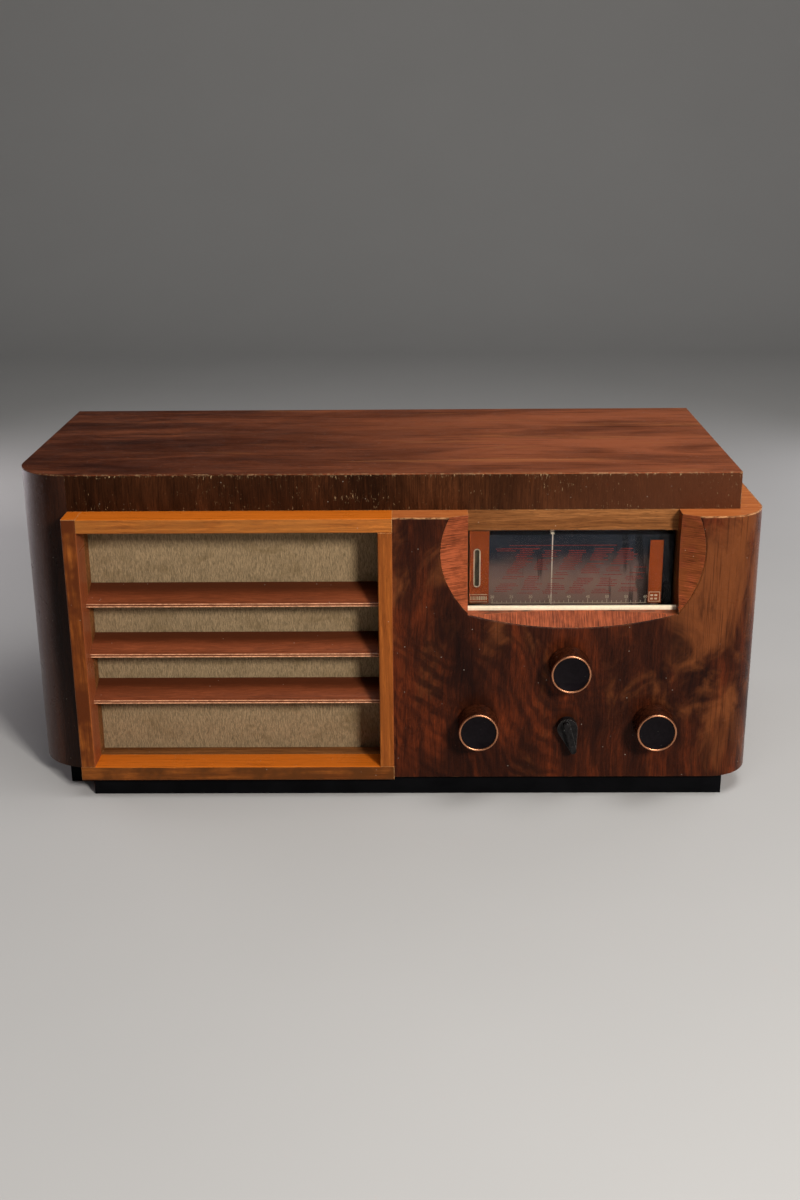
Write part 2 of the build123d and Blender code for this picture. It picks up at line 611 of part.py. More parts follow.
# tuning spindle: a groove for the drive cord near its inner end
tuning_x, tuning_z = CONTROLS["tuning"]
GROOVE_FLOOR = SPINDLE_PITCH_RADIUS - CORD_RADIUS - 0.3
COLLAR_RADIUS = SPINDLE_PITCH_RADIUS + 2
COLLAR_HALF = 4.0
save(
    turned(
        tuning_x,
        tuning_z,
        [
            (0, BORE_END),
            (SHAFT_RADIUS, BORE_END),
            (SHAFT_RADIUS, CORD_Y - COLLAR_HALF),
            (COLLAR_RADIUS, CORD_Y - COLLAR_HALF),
            (COLLAR_RADIUS, CORD_Y - COLLAR_HALF + 1),
            (GROOVE_FLOOR, CORD_Y - 2.2),
            (GROOVE_FLOOR, CORD_Y + 2.2),
            (COLLAR_RADIUS, CORD_Y + COLLAR_HALF - 1),
            (COLLAR_RADIUS, CORD_Y + COLLAR_HALF),
            (SHAFT_RADIUS, CORD_Y + COLLAR_HALF),
            (SHAFT_RADIUS, SHAFT_END["tuning"]),
            (0, SHAFT_END["tuning"]),
        ],
    ),
    "tuning_spindle",
)
for control in ("volume", "tone"):
    cx, cz = CONTROLS[control]
    save(
        turned(
            cx,
            cz,
            [
                (0, BORE_END),
                (SHAFT_RADIUS, BORE_END),
                (SHAFT_RADIUS, SHAFT_END[control]),
                (0, SHAFT_END[control]),
            ],
        ),
        f"{control}_shaft",
    )

# wave band knob: a bar pointer, leaning 15 degrees to the right of straight down
BAND_LEAN = 15.0
BAND_HUB_RADIUS = 8.5
BAND_LENGTH = 22.0
BAND_KNOB_FACE = PANEL_FACE - 13.0
BAND_BASE_HEIGHT = 7.0
BAND_TIP_RADIUS = 2.2
BAND_BAR_WIDTH = 5.6
BAND_BORE = 9.0
BAND_FRONT = KNOB_BACK - BAND_BASE_HEIGHT
band_x, band_z = CONTROLS["wave_band"]


def along_band(distance):
    """A point on the bar knob's centre line, this far from the shaft."""
    return (band_x + distance * sin(radians(BAND_LEAN)), band_z - distance * cos(radians(BAND_LEAN)))


with BuildPart() as wave_band_knob:
    with BuildSketch(upright(KNOB_BACK)):
        with Locations((band_x, band_z)):
            Circle(BAND_HUB_RADIUS)
        with Locations(along_band(BAND_LENGTH)):
            Circle(BAND_TIP_RADIUS)
        make_hull()
    extrude(amount=BAND_BASE_HEIGHT)
    with BuildSketch(upright(BAND_FRONT)):
        with Locations(along_band(BAND_LENGTH / 3)):
            SlotOverall(BAND_LENGTH + BAND_HUB_RADIUS - 1, BAND_BAR_WIDTH, rotation=BAND_LEAN - 90)
    extrude(amount=BAND_FRONT - BAND_KNOB_FACE)
    fillet(wave_band_knob.faces().sort_by(Axis.Y)[0].edges(), 1.2)
    with BuildSketch(upright(KNOB_BACK)):
        with Locations((band_x, band_z)):
            Circle(SHAFT_RADIUS)
    extrude(amount=BAND_BORE, mode=Mode.SUBTRACT)
save(wave_band_knob, "wave_band_knob")

WAFER_YS = [CHASSIS_FRONT + 26.0, CHASSIS_FRONT + 50.0]
WAFER_THICKNESS = 1.5
ROTOR_DISC_RADIUS = 7.0
with BuildPart() as wave_band_shaft:
    with BuildSketch(upright(KNOB_BACK - BAND_BORE)):
        with Locations((band_x, band_z)):
            Circle(SHAFT_RADIUS)
    extrude(amount=-(SHAFT_END["wave_band"] - KNOB_BACK + BAND_BORE))
    for wafer_y in WAFER_YS:
        with BuildSketch(upright(wafer_y)):
            with Locations((band_x, band_z)):
                Circle(ROTOR_DISC_RADIUS)
        extrude(amount=-WAFER_THICKNESS)
save(wave_band_shaft, "wave_band_shaft")

BUSH_RADIUS = 5.0
BUSH_REACH = 6.0  # bush in front of the sheet that it is fixed to
NUT_RADIUS = 8.0
NUT_SIDES = 6
WAFER_RADIUS = 20.0
WAFER_CORNER = 9.0
SWITCH_PLATE = (38.0, 30.0, 3.0)  # width, height, corner
SWITCH_PLATE_THICKNESS = 3.0
SWITCH_ROD_SPREAD = 16.0
SWITCH_ROD_RADIUS = 1.6
BUSH_BORE_FRONT = CHASSIS_FRONT - BUSH_REACH - 1
with BuildPart() as wave_band_switch:
    with BuildSketch(upright(CHASSIS_FRONT - BUSH_REACH)):
        with Locations((band_x, band_z)):
            Circle(BUSH_RADIUS)
    extrude(amount=-(BUSH_REACH + CHASSIS_SHEET))
    with BuildSketch(upright(CHASSIS_FRONT + CHASSIS_SHEET)):
        with Locations((band_x, band_z)):
            RectangleRounded(*SWITCH_PLATE)
    extrude(amount=-SWITCH_PLATE_THICKNESS)
    with BuildSketch(upright(CHASSIS_FRONT + CHASSIS_SHEET)):
        with Locations((band_x - SWITCH_ROD_SPREAD, band_z), (band_x + SWITCH_ROD_SPREAD, band_z)):
            Circle(SWITCH_ROD_RADIUS)
    extrude(amount=-(SHAFT_END["wave_band"] - CHASSIS_FRONT - CHASSIS_SHEET))
    with BuildSketch(upright(BUSH_BORE_FRONT)):
        with Locations((band_x, band_z)):
            Circle(SHAFT_RADIUS + RUNNING_CLEARANCE)
    extrude(amount=-20, mode=Mode.SUBTRACT)
    for wafer_y in WAFER_YS:
        with BuildSketch(upright(wafer_y)):
            with Locations((band_x, band_z)):
                RectangleRounded(2 * WAFER_RADIUS, 2 * WAFER_RADIUS, WAFER_CORNER)
                Circle(ROTOR_DISC_RADIUS + 0.5, mode=Mode.SUBTRACT)
        extrude(amount=-WAFER_THICKNESS)
save(wave_band_switch, "wave_band_switch")

POT_BODY_RADIUS = 17.0
POT_BODY_DEPTH = 17.0
NUT_HEIGHT = 4.0
with BuildPart() as potentiometers:
    for control in ("volume", "tone"):
        with BuildSketch(upright(CHASSIS_FRONT + CHASSIS_SHEET)):
            with Locations(CONTROLS[control]):
                Circle(POT_BODY_RADIUS)
        extrude(amount=-POT_BODY_DEPTH)
        with BuildSketch(upright(CHASSIS_FRONT - BUSH_REACH)):
            with Locations(CONTROLS[control]):
                Circle(BUSH_RADIUS)
        extrude(amount=-(BUSH_REACH + CHASSIS_SHEET))
        with BuildSketch(upright(CHASSIS_FRONT - NUT_HEIGHT)):
            with Locations(CONTROLS[control]):
                RegularPolygon(NUT_RADIUS, NUT_SIDES)
        extrude(amount=-NUT_HEIGHT)
        with BuildSketch(upright(BUSH_BORE_FRONT)):
            with Locations(CONTROLS[control]):
                Circle(SHAFT_RADIUS + RUNNING_CLEARANCE)
        extrude(amount=-22, mode=Mode.SUBTRACT)
save(potentiometers, "potentiometers")

# ---------------------------------------------------------------- dial
with BuildPart() as dial_glass:
    with BuildSketch(upright(GLASS_FACE)):
        with BuildLine():
            Polyline(
                (GLASS_X[0], PANEL_SILL),
                (GLASS_X[1], PANEL_SILL),
                (GLASS_X[1] - 6, GLASS_TOP),
                (GLASS_X[0], GLASS_TOP),
                close=True,
            )
        make_face()
    extrude(amount=-GLASS_THICKNESS)
    fillet(dial_glass.edges().filter_by(Axis.Y).group_by(Axis.Z)[-1], 3)
save(dial_glass, "dial_glass")

with BuildPart() as dial_sill_strip:
    with Locations((WINDOW_CENTRE, sum(STRIP_Y) / 2, PANEL_SILL + STRIP_HEIGHT / 2)):
        Box(2 * WINDOW_HALF, STRIP_Y[1] - STRIP_Y[0], STRIP_HEIGHT)
    fillet(dial_sill_strip.faces().sort_by(Axis.Z)[-1].edges().filter_by(Axis.X), 1.0)
save(dial_sill_strip, "dial_sill_strip")

INDICATOR_X = 74.0
INDICATOR_Z = (182.0, 219.5)
INDICATOR_WIDTH = 9.0
INDICATOR_DEPTH = 4.0
INDICATOR_CORNER = 2.0
with BuildPart() as tuning_indicator:
    with Locations((INDICATOR_X, TRAY_Y - INDICATOR_DEPTH / 2, sum(INDICATOR_Z) / 2)):
        Box(INDICATOR_WIDTH, INDICATOR_DEPTH, INDICATOR_Z[1] - INDICATOR_Z[0])
    fillet(tuning_indicator.edges().filter_by(Axis.Y), INDICATOR_CORNER)
save(tuning_indicator, "tuning_indicator")

RAIL_Z = 253.0
RAIL_Y = FRONT + 33.0
RAIL_RADIUS = 1.5
RAIL_ENDS = (PULLEY_LEFT_X - 7, PULLEY_RIGHT_X + 7)
BACKPLATE_X = (38.0, 268.0)
EAR_WIDTH = 24.0
EAR_HEIGHT = 34.0
PULLEY_PIN_RADIUS = 1.5
LAMP_X = (BACKPLATE_X[0] + 12, BACKPLATE_X[1] - 14)
LAMP_Z = (186.0, 206.0)
LAMP_Y = BACKPLATE_Y - 5.0
LAMP_SHELF = 10.0
BACKPLATE_TOP = TRAY_Z[1] - 1.0
FOOT_FLANGE = 20.0
PIN_END = CORD_Y + 4.0
with BuildPart() as dial_frame:
    with BuildSketch(upright(BACKPLATE_Y)):
        with Locations((sum(BACKPLATE_X) / 2, (CHASSIS_TOP + BACKPLATE_TOP) / 2)):
            Rectangle(BACKPLATE_X[1] - BACKPLATE_X[0], BACKPLATE_TOP - CHASSIS_TOP)
        for ear_x in (BACKPLATE_X[0] + EAR_WIDTH / 2, BACKPLATE_X[1] - EAR_WIDTH / 2):
            with Locations((ear_x, PULLEY_Z)):
                Rectangle(EAR_WIDTH, EAR_HEIGHT)
    extrude(amount=-SHEET)
    with Locations((sum(BACKPLATE_X) / 2, BACKPLATE_Y + FOOT_FLANGE / 2, CHASSIS_TOP + SHEET / 2)):
        Box(BACKPLATE_X[1] - BACKPLATE_X[0], FOOT_FLANGE, SHEET)
    for lamp_x in LAMP_X:
        with Locations((lamp_x, LAMP_Y, LAMP_Z[0] - 1.5)):
            Box(12, LAMP_SHELF, 3)
    with BuildSketch(upright(BACKPLATE_Y + SHEET)):
        with Locations((PULLEY_LEFT_X, PULLEY_Z), (PULLEY_RIGHT_X, PULLEY_Z)):
            Circle(PULLEY_PIN_RADIUS)
    extrude(amount=-(PIN_END - BACKPLATE_Y - SHEET))
    # the tuning spindle's bush and its nut
    with BuildSketch(upright(BACKPLATE_Y - 5)):
        with Locations((tuning_x, tuning_z)):
            Circle(BUSH_RADIUS)
    extrude(amount=-(5 + SHEET + BEYOND))
    with BuildSketch(upright(BACKPLATE_Y - 3)):
        with Locations((tuning_x, tuning_z)):
            RegularPolygon(NUT_RADIUS, NUT_SIDES)
    extrude(amount=-3)
    with BuildSketch(upright(BACKPLATE_Y - 6)):
        with Locations((tuning_x, tuning_z)):
            Circle(SHAFT_RADIUS + RUNNING_CLEARANCE)
    extrude(amount=-12, mode=Mode.SUBTRACT)
save(dial_frame, "dial_frame")

with BuildPart() as dial_tray:
    with Locations((sum(TRAY_X) / 2, (TRAY_Y + BACKPLATE_Y) / 2, sum(TRAY_Z) / 2)):
        Box(TRAY_X[1] - TRAY_X[0], BACKPLATE_Y - TRAY_Y, TRAY_Z[1] - TRAY_Z[0])
    offset(amount=-SHEET, openings=dial_tray.faces().sort_by(Axis.Y)[-1])
save(dial_tray, "dial_tray")

with BuildPart() as pointer_rail:
    with BuildLine() as rail_path:
        FilletPolyline(
            (RAIL_ENDS[0], BACKPLATE_Y + SHEET, RAIL_Z),
            (RAIL_ENDS[0], RAIL_Y, RAIL_Z),
            (RAIL_ENDS[1], RAIL_Y, RAIL_Z),
            (RAIL_ENDS[1], BACKPLATE_Y + SHEET, RAIL_Z),
            radius=2.6,
        )
    with BuildSketch(Plane((RAIL_ENDS[0], BACKPLATE_Y + SHEET, RAIL_Z), z_dir=(0, 1, 0))):
        Circle(RAIL_RADIUS)
    sweep(path=rail_path.line)
save(pointer_rail, "pointer_rail")

NEEDLE_WIDTH = 0.9
NEEDLE_THICKNESS = 0.8
STEM_Y = RAIL_Y - 2.4
STEM_WIDTH = 5.0
ARM_WIDTH = 3.0
NEEDLE_FOOT = PANEL_SILL + 2.0
SLIDER_LENGTH = 14.0
SLIDER_SIDE = 6.4
CLIP_WIDTH = 6.0
with BuildPart() as dial_pointer:
    with Locations((POINTER_X, RAIL_Y, RAIL_Z)):
        Box(SLIDER_LENGTH, SLIDER_SIDE, SLIDER_SIDE)
    with Locations((POINTER_X, STEM_Y, (POINTER_ARM_Z - NEEDLE_THICKNESS / 2 + RAIL_Z) / 2)):
        Box(STEM_WIDTH, NEEDLE_THICKNESS, RAIL_Z - POINTER_ARM_Z + NEEDLE_THICKNESS / 2)
    with Locations((POINTER_X, (POINTER_Y + STEM_Y) / 2, POINTER_ARM_Z)):
        Box(ARM_WIDTH, STEM_Y - POINTER_Y + NEEDLE_THICKNESS, NEEDLE_THICKNESS)
    with Locations((POINTER_X, POINTER_Y, (NEEDLE_FOOT + POINTER_ARM_Z) / 2)):
        Box(NEEDLE_WIDTH, NEEDLE_THICKNESS, POINTER_ARM_Z - NEEDLE_FOOT)
    # the clip that grips the cord
    with Locations((POINTER_X, CORD_Y + 1.3, RAIL_Z - 5)):
        Box(CLIP_WIDTH, NEEDLE_THICKNESS, 6)
    with Locations((POINTER_X, CORD_Y + 0.7, RAIL_Z - 2.4)):
        Box(CLIP_WIDTH, 2.0, NEEDLE_THICKNESS)
    with Locations((POINTER_X, CORD_Y, RAIL_Z - 7.6)):
        Box(CLIP_WIDTH, 3.4, NEEDLE_THICKNESS)
    with BuildSketch(Plane.YZ.offset(POINTER_X - SLIDER_LENGTH / 2 - 1)):
        with Locations((RAIL_Y, RAIL_Z)):
            Circle(RAIL_RADIUS + RUNNING_CLEARANCE)
    extrude(amount=SLIDER_LENGTH + 2, mode=Mode.SUBTRACT)
save(dial_pointer, "dial_pointer")

GROOVE_GAP = 0.3
FLANGE = 2.0  # how far a wheel's flanges stand above the groove's floor
HUB_RADIUS = 9.0
DRUM_RIM = 3.0
DRUM_HOLES = 5
DRUM_HOLES_AT = 25.0
for side, pulley_x in (("left", PULLEY_LEFT_X), ("right", PULLEY_RIGHT_X)):
    floor_radius = PULLEY_PITCH_RADIUS - CORD_RADIUS - GROOVE_GAP
    save(
        turned(
            pulley_x,
            PULLEY_Z,
            [
                (PULLEY_PIN_RADIUS + RUNNING_CLEARANCE, CORD_Y - 2.5),
                (floor_radius + FLANGE, CORD_Y - 2.5),
                (floor_radius + FLANGE, CORD_Y - 2),
                (floor_radius, CORD_Y - 0.9),
                (floor_radius, CORD_Y + 0.9),
                (floor_radius + FLANGE, CORD_Y + 2),
                (floor_radius + FLANGE, CORD_Y + 2.5),
                (PULLEY_PIN_RADIUS + RUNNING_CLEARANCE, CORD_Y + 2.5),
            ],
        ),
        f"dial_pulley_{side}",
    )

DRUM_FLOOR = DRUM_PITCH_RADIUS - CORD_RADIUS - GROOVE_GAP
with BuildPart() as drive_drum:
    add(
        turned(
            DRUM_X,
            DRUM_Z,
            [
                (SHAFT_RADIUS, CORD_Y - 4),
                (HUB_RADIUS, CORD_Y - 4),
                (HUB_RADIUS, CORD_Y - 1),
                (DRUM_FLOOR - DRUM_RIM, CORD_Y - 1),
                (DRUM_FLOOR - DRUM_RIM, CORD_Y - 3),
                (DRUM_FLOOR + FLANGE, CORD_Y - 3),
                (DRUM_FLOOR, CORD_Y - 1.2),
                (DRUM_FLOOR, CORD_Y + 1.2),
                (DRUM_FLOOR + FLANGE, CORD_Y + 3),
                (DRUM_FLOOR - DRUM_RIM, CORD_Y + 3),
                (DRUM_FLOOR - DRUM_RIM, CORD_Y + 1),
                (HUB_RADIUS, CORD_Y + 1),
                (HUB_RADIUS, CORD_Y + 8),
                (SHAFT_RADIUS, CORD_Y + 8),
            ],
        ).part
    )
    with BuildSketch(upright(CORD_Y - 2)):
        with Locations((DRUM_X, DRUM_Z)):
            with PolarLocations(DRUM_HOLES_AT, DRUM_HOLES, start_angle=18):
                Circle(HUB_RADIUS)
    extrude(amount=-4, mode=Mode.SUBTRACT)
save(drive_drum, "drive_drum")

# drive cord: a closed loop round pulley, pulley, drum and spindle, clockwise from the front
WHEELS = [
    (PULLEY_LEFT_X, PULLEY_Z, PULLEY_PITCH_RADIUS),
    (PULLEY_RIGHT_X, PULLEY_Z, PULLEY_PITCH_RADIUS),
    (DRUM_X, DRUM_Z, DRUM_PITCH_RADIUS),
    (tuning_x, tuning_z, SPINDLE_PITCH_RADIUS),
]


def tangent_angle(wheel, following):
    """Direction, in degrees, from a wheel's centre to where the cord leaves it for the next."""
    dx, dz = following[0] - wheel[0], following[1] - wheel[1]
    return degrees(atan2(dz, dx) + acos((wheel[2] - following[2]) / hypot(dx, dz)))


def on_wheel(wheel, angle):
    return (wheel[0] + wheel[2] * cos(radians(angle)), wheel[1] + wheel[2] * sin(radians(angle)))


leaving = [tangent_angle(w, WHEELS[(i + 1) % 4]) for i, w in enumerate(WHEELS)]
with BuildPart() as drive_cord:
    for i, wheel in enumerate(WHEELS):
        following = WHEELS[(i + 1) % 4]
        start = on_wheel(wheel, leaving[i])
        end = on_wheel(following, leaving[i])
        run = (end[0] - start[0], 0, end[1] - start[1])
        with BuildSketch(Plane((start[0], CORD_Y, start[1]), z_dir=run)):
            Circle(CORD_RADIUS)
        extrude(amount=hypot(run[0], run[2]))
        arc = (leaving[i] - leaving[(i + 1) % 4]) % 360
        section_plane = Plane(
            (end[0], CORD_Y, end[1]),
            x_dir=(cos(radians(leaving[i])), 0, sin(radians(leaving[i]))),
            z_dir=run,
        )
        with BuildSketch(section_plane):
            Circle(CORD_RADIUS)
        revolve(axis=axis_y(following[0], following[1]), revolution_arc=arc)
save(drive_cord, "drive_cord")

LAMP_RADIUS = 4.5
with BuildPart() as dial_lamps:
    for lamp_x in LAMP_X:
        with Locations((lamp_x, LAMP_Y, sum(LAMP_Z) / 2)):
            Cylinder(LAMP_RADIUS, LAMP_Z[1] - LAMP_Z[0])
        with Locations((lamp_x, LAMP_Y, LAMP_Z[1])):
            Sphere(LAMP_RADIUS)
save(dial_lamps, "dial_lamps")

# ---------------------------------------------------------------- tuning gang
GANG_Y = (FRONT + 52.0, FRONT + 124.0)
GANG_HALF = 25.0
GANG_SHEET = 2.0
GANG_FLOOR = DRUM_Z - 26.0
PLATE = 0.8
PLATE_PITCH = 3.0
SECTIONS = 2
PLATES_PER_SECTION = 8
SECTION_GAP = 8.0
ROTOR_RADIUS = 20.0
GANG_TOP = DRUM_Z + 24.0
GANG_POST_RADIUS = 4.0
STATOR_BAR_X = DRUM_X - GANG_HALF + 2
STATOR_BAR = (3.0, 8.0)
STATOR_PLATE = (18.0, 40.0)
first_plate = GANG_Y[0] + GANG_SHEET + 5
section_length = PLATES_PER_SECTION * PLATE_PITCH + SECTION_GAP
rotor_plates = [
    first_plate + s * section_length + i * PLATE_PITCH
    for s in range(SECTIONS)
    for i in range(PLATES_PER_SECTION)
]

with BuildPart() as gang_frame:
    for plate_y in (GANG_Y[0], GANG_Y[1] - GANG_SHEET):
        with BuildSketch(upright(plate_y)):
            with Locations((DRUM_X, (GANG_FLOOR + GANG_TOP) / 2)):
                Rectangle(2 * GANG_HALF, GANG_TOP - GANG_FLOOR)
            with Locations((DRUM_X, DRUM_Z)):
                Circle(SHAFT_RADIUS + RUNNING_CLEARANCE, mode=Mode.SUBTRACT)
        extrude(amount=-GANG_SHEET)
    with Locations((DRUM_X, sum(GANG_Y) / 2, GANG_FLOOR + GANG_SHEET / 2)):
        Box(2 * GANG_HALF, GANG_Y[1] - GANG_Y[0], GANG_SHEET)
    with Locations((DRUM_X, sum(GANG_Y) / 2, (CHASSIS_TOP + GANG_FLOOR) / 2)):
        with GridLocations(2 * GANG_HALF - 10, GANG_Y[1] - GANG_Y[0] - 12, 2, 2):
            Cylinder(GANG_POST_RADIUS, GANG_FLOOR - CHASSIS_TOP)
    # fixed plates, held by a bar along the left of each section
    for s in range(SECTIONS):
        bar_y = first_plate + s * section_length - PLATE_PITCH / 2
        bar_length = PLATES_PER_SECTION * PLATE_PITCH + PLATE
        with Locations((STATOR_BAR_X, bar_y + bar_length / 2, DRUM_Z)):
            Box(STATOR_BAR[0], bar_length, STATOR_BAR[1])
        with Locations((STATOR_BAR_X, bar_y + bar_length / 2, (GANG_FLOOR + DRUM_Z) / 2)):
            Box(STATOR_BAR[0], 6, DRUM_Z - GANG_FLOOR)
        for i in range(PLATES_PER_SECTION + 1):
            with BuildSketch(upright(bar_y + i * PLATE_PITCH)):
                with Locations((STATOR_BAR_X + STATOR_PLATE[0] / 2, DRUM_Z)):
                    Rectangle(*STATOR_PLATE)
            extrude(amount=-PLATE)
save(gang_frame, "gang_frame")

# moving plates: half discs, turned out of mesh by the pointer's distance from the low end
MESHED_DIRECTION = 180.0
ROTOR_SHAFT_Y = (CORD_Y - 4.0, GANG_Y[1] + 4.0)
resting_direction = MESHED_DIRECTION - degrees(POINTER_TO_LOW_END / DRUM_PITCH_RADIUS)
with BuildPart() as gang_rotor:
    with BuildSketch(upright(ROTOR_SHAFT_Y[0])):
        with Locations((DRUM_X, DRUM_Z)):
            Circle(SHAFT_RADIUS)
    extrude(amount=-(ROTOR_SHAFT_Y[1] - ROTOR_SHAFT_Y[0]))
    for plate_y in rotor_plates:
        with BuildSketch(upright(plate_y)):
            with BuildLine(Plane(upright(plate_y).location * Location((DRUM_X, DRUM_Z, 0)))):
                half_disc = CenterArc((0, 0), ROTOR_RADIUS, resting_direction - 90, 180)
                Line(half_disc @ 1, half_disc @ 0)
            make_face()
        extrude(amount=-PLATE)
save(gang_rotor, "gang_rotor")

# ---------------------------------------------------------------- chassis and what stands on it
VALVES_AT = [(35, 190), (35, 105), (118, 150), (118, 192), (163, 192)]
CANS_AT = [(76, 190, 17.0, 78.0), (35, 148, 17.0, 78.0), (76, 140, 14.0, 92.0)]
BASE_RADIUS = 15.0
SOCKETS_X = 62.0
SOCKET_Z = 60.0
SOCKET_PITCH = 16.0
SOCKET_RADIUS = 2.05
SOCKET_STRIP_DEPTH = 8.0
GROMMET_X = 190.0
GROMMET_RADIUS = 7.0
LEAD_RADIUS = 3.5
SOCKETS = 4
SOCKET_CLEARANCE_RADIUS = 4.0

with BuildPart() as chassis:
    add(
        block(
            (CHASSIS_LEFT, CHASSIS_RIGHT),
            (CHASSIS_FRONT, CHASSIS_BACK),
            (BOTTOM_BOARD_TOP, CHASSIS_TOP),
        ).part
    )
    offset(amount=-CHASSIS_SHEET, openings=chassis.faces().sort_by(Axis.Z)[0])
    with BuildSketch(Plane.XY.offset(CHASSIS_TOP)):
        for valve_x, valve_y in VALVES_AT:
            with Locations((valve_x, FRONT + valve_y)):
                Circle(BASE_RADIUS - 2)
    extrude(amount=-(CHASSIS_SHEET + BEYOND), mode=Mode.SUBTRACT)
    with BuildSketch(upright(CHASSIS_FRONT - BEYOND)):
        with Locations(*[CONTROLS[c] for c in ("volume", "tone", "wave_band")]):
            Circle(BUSH_RADIUS)
    extrude(amount=-(CHASSIS_SHEET + 2 * BEYOND), mode=Mode.SUBTRACT)
    with BuildSketch(upright(CHASSIS_BACK - CHASSIS_SHEET - BEYOND)):
        with Locations((SOCKETS_X, SOCKET_Z)):
            with GridLocations(SOCKET_PITCH, 1, SOCKETS, 1):
                Circle(SOCKET_CLEARANCE_RADIUS)
        with Locations((GROMMET_X, SOCKET_Z)):
            Circle(GROMMET_RADIUS - 2)
    extrude(amount=-(CHASSIS_SHEET + 2 * BEYOND), mode=Mode.SUBTRACT)
save(chassis, "chassis")

with BuildPart() as socket_strip:
    with BuildSketch(upright(CHASSIS_BACK)):
        with Locations((SOCKETS_X, SOCKET_Z)):
            RectangleRounded(5 * SOCKET_PITCH, 18, 4)
            with GridLocations(SOCKET_PITCH, 1, SOCKETS, 1):
                Circle(SOCKET_RADIUS, mode=Mode.SUBTRACT)
    extrude(amount=-SOCKET_STRIP_DEPTH)
save(socket_strip, "socket_strip")

save(
    turned(
        GROMMET_X,
        SOCKET_Z,
        [
            (LEAD_RADIUS, CHASSIS_BACK - 4),
            (GROMMET_RADIUS, CHASSIS_BACK - 4),
            (GROMMET_RADIUS, CHASSIS_BACK - CHASSIS_SHEET),
            (GROMMET_RADIUS - 2, CHASSIS_BACK - CHASSIS_SHEET),
            (GROMMET_RADIUS - 2, CHASSIS_BACK),
            (GROMMET_RADIUS, CHASSIS_BACK),
            (GROMMET_RADIUS, CHASSIS_BACK + 3),
            (LEAD_RADIUS, CHASSIS_BACK + 3),
        ],
    ),
    "mains_inlet_grommet",
)

BASE_HEIGHT = 28.0
BULB_RADIUS = 18.0
BULB_HEIGHT = 72.0
BULB_NECK_RADIUS = 13.0
BULB_CROWN_RADIUS = 11.0


def stood_on_chassis(places, profile):
    """Pieces turned about an upright axis, one at each place, from (radius, height) points."""
    with BuildPart() as group:
        for px, py in places:
            with BuildSketch(Plane.XZ.offset(-(FRONT + py))):
                with BuildLine():
                    Polyline(*[(px + r, CHASSIS_TOP + h) for r, h in profile], close=True)
                make_face()
            revolve(axis=Axis((px, FRONT + py, 0), (0, 0, 1)))
    return group


save(
    stood_on_chassis(VALVES_AT, [(0, 0), (BASE_RADIUS, 0), (BASE_RADIUS, BASE_HEIGHT), (0, BASE_HEIGHT)]),
    "valve_bases",
)
save(
    stood_on_chassis(
        VALVES_AT,
        [
            (0, BASE_HEIGHT),
            (BULB_NECK_RADIUS, BASE_HEIGHT),
            (BULB_NECK_RADIUS + 1, BASE_HEIGHT + 12),
            (BULB_RADIUS, BASE_HEIGHT + 26),
            (BULB_RADIUS, BASE_HEIGHT + 46),
            (BULB_CROWN_RADIUS, BASE_HEIGHT + 58),
            (BULB_CROWN_RADIUS, BASE_HEIGHT + 66),
            (7, BASE_HEIGHT + BULB_HEIGHT),
            (0, BASE_HEIGHT + BULB_HEIGHT + 1),
        ],
    ),
    "valve_bulbs",
)

with BuildPart() as screening_cans:
    for can_x, can_y, can_radius, can_height in CANS_AT:
        with Locations((can_x, FRONT + can_y, CHASSIS_TOP + can_height / 2)):
            Cylinder(can_radius, can_height)
    fillet(screening_cans.edges().filter_by(GeomType.CIRCLE).group_by(Axis.Z)[-1], 2)
save(screening_cans, "screening_cans")

POWER_X, POWER_Y = 228.0, FRONT + 180.0
POWER_CORE = (66.0, 34.0, 70.0)
POWER_WINDING = (56.0, 62.0, 46.0)
POWER_FOOT = (74.0, 46.0, 3.0)
POWER_MIDDLE = CHASSIS_TOP + POWER_FOOT[2] + POWER_CORE[2] / 2
with BuildPart() as power_transformer:
    with Locations((POWER_X, POWER_Y, POWER_MIDDLE)):
        Box(*POWER_CORE)
        Box(*POWER_WINDING)
    with Locations((POWER_X, POWER_Y, CHASSIS_TOP + POWER_FOOT[2] / 2)):
        Box(*POWER_FOOT)
    fillet(power_transformer.edges().filter_by(Axis.Z).group_by(SortBy.LENGTH)[-1], 2)
save(power_transformer, "power_transformer")

print(f"cord pulleys and drum leave at {[round(a, 1) for a in leaving]} degrees")
print(f"outline {RIGHT - LEFT:g} x {TOTAL_DEPTH:g} x {HEIGHT:g} mm")
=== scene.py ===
"""Looks of a louvred wooden table radio: lacquered veneers, woven cloth, printed glass dial, knobs,
chassis and loudspeaker, around the frame that the CAD gives. Laid out as an add-on."""

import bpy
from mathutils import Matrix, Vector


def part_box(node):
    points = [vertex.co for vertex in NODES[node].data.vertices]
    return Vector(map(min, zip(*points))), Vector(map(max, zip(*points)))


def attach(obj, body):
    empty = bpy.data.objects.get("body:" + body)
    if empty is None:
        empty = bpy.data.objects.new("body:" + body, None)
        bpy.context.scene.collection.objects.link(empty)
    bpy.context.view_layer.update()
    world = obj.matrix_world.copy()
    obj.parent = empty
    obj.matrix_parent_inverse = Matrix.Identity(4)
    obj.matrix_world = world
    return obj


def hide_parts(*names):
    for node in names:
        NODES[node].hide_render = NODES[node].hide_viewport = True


bl_info = {
    "name": "Louvred Table Radio",
    "version": (1, 0, 0),
    "blender": (4, 5, 0),
    "location": "View3D > Sidebar > Table Radio",
    "description": "Veneer, cloth, dial and knobs of a wooden table radio, and a studio to see them in",
    "category": "Object",
}

from math import cos, pi, radians, sin
from random import Random

import bmesh
import bpy
from bpy.props import FloatProperty, FloatVectorProperty, IntProperty, PointerProperty
from mathutils import Euler, Matrix, Vector, noise

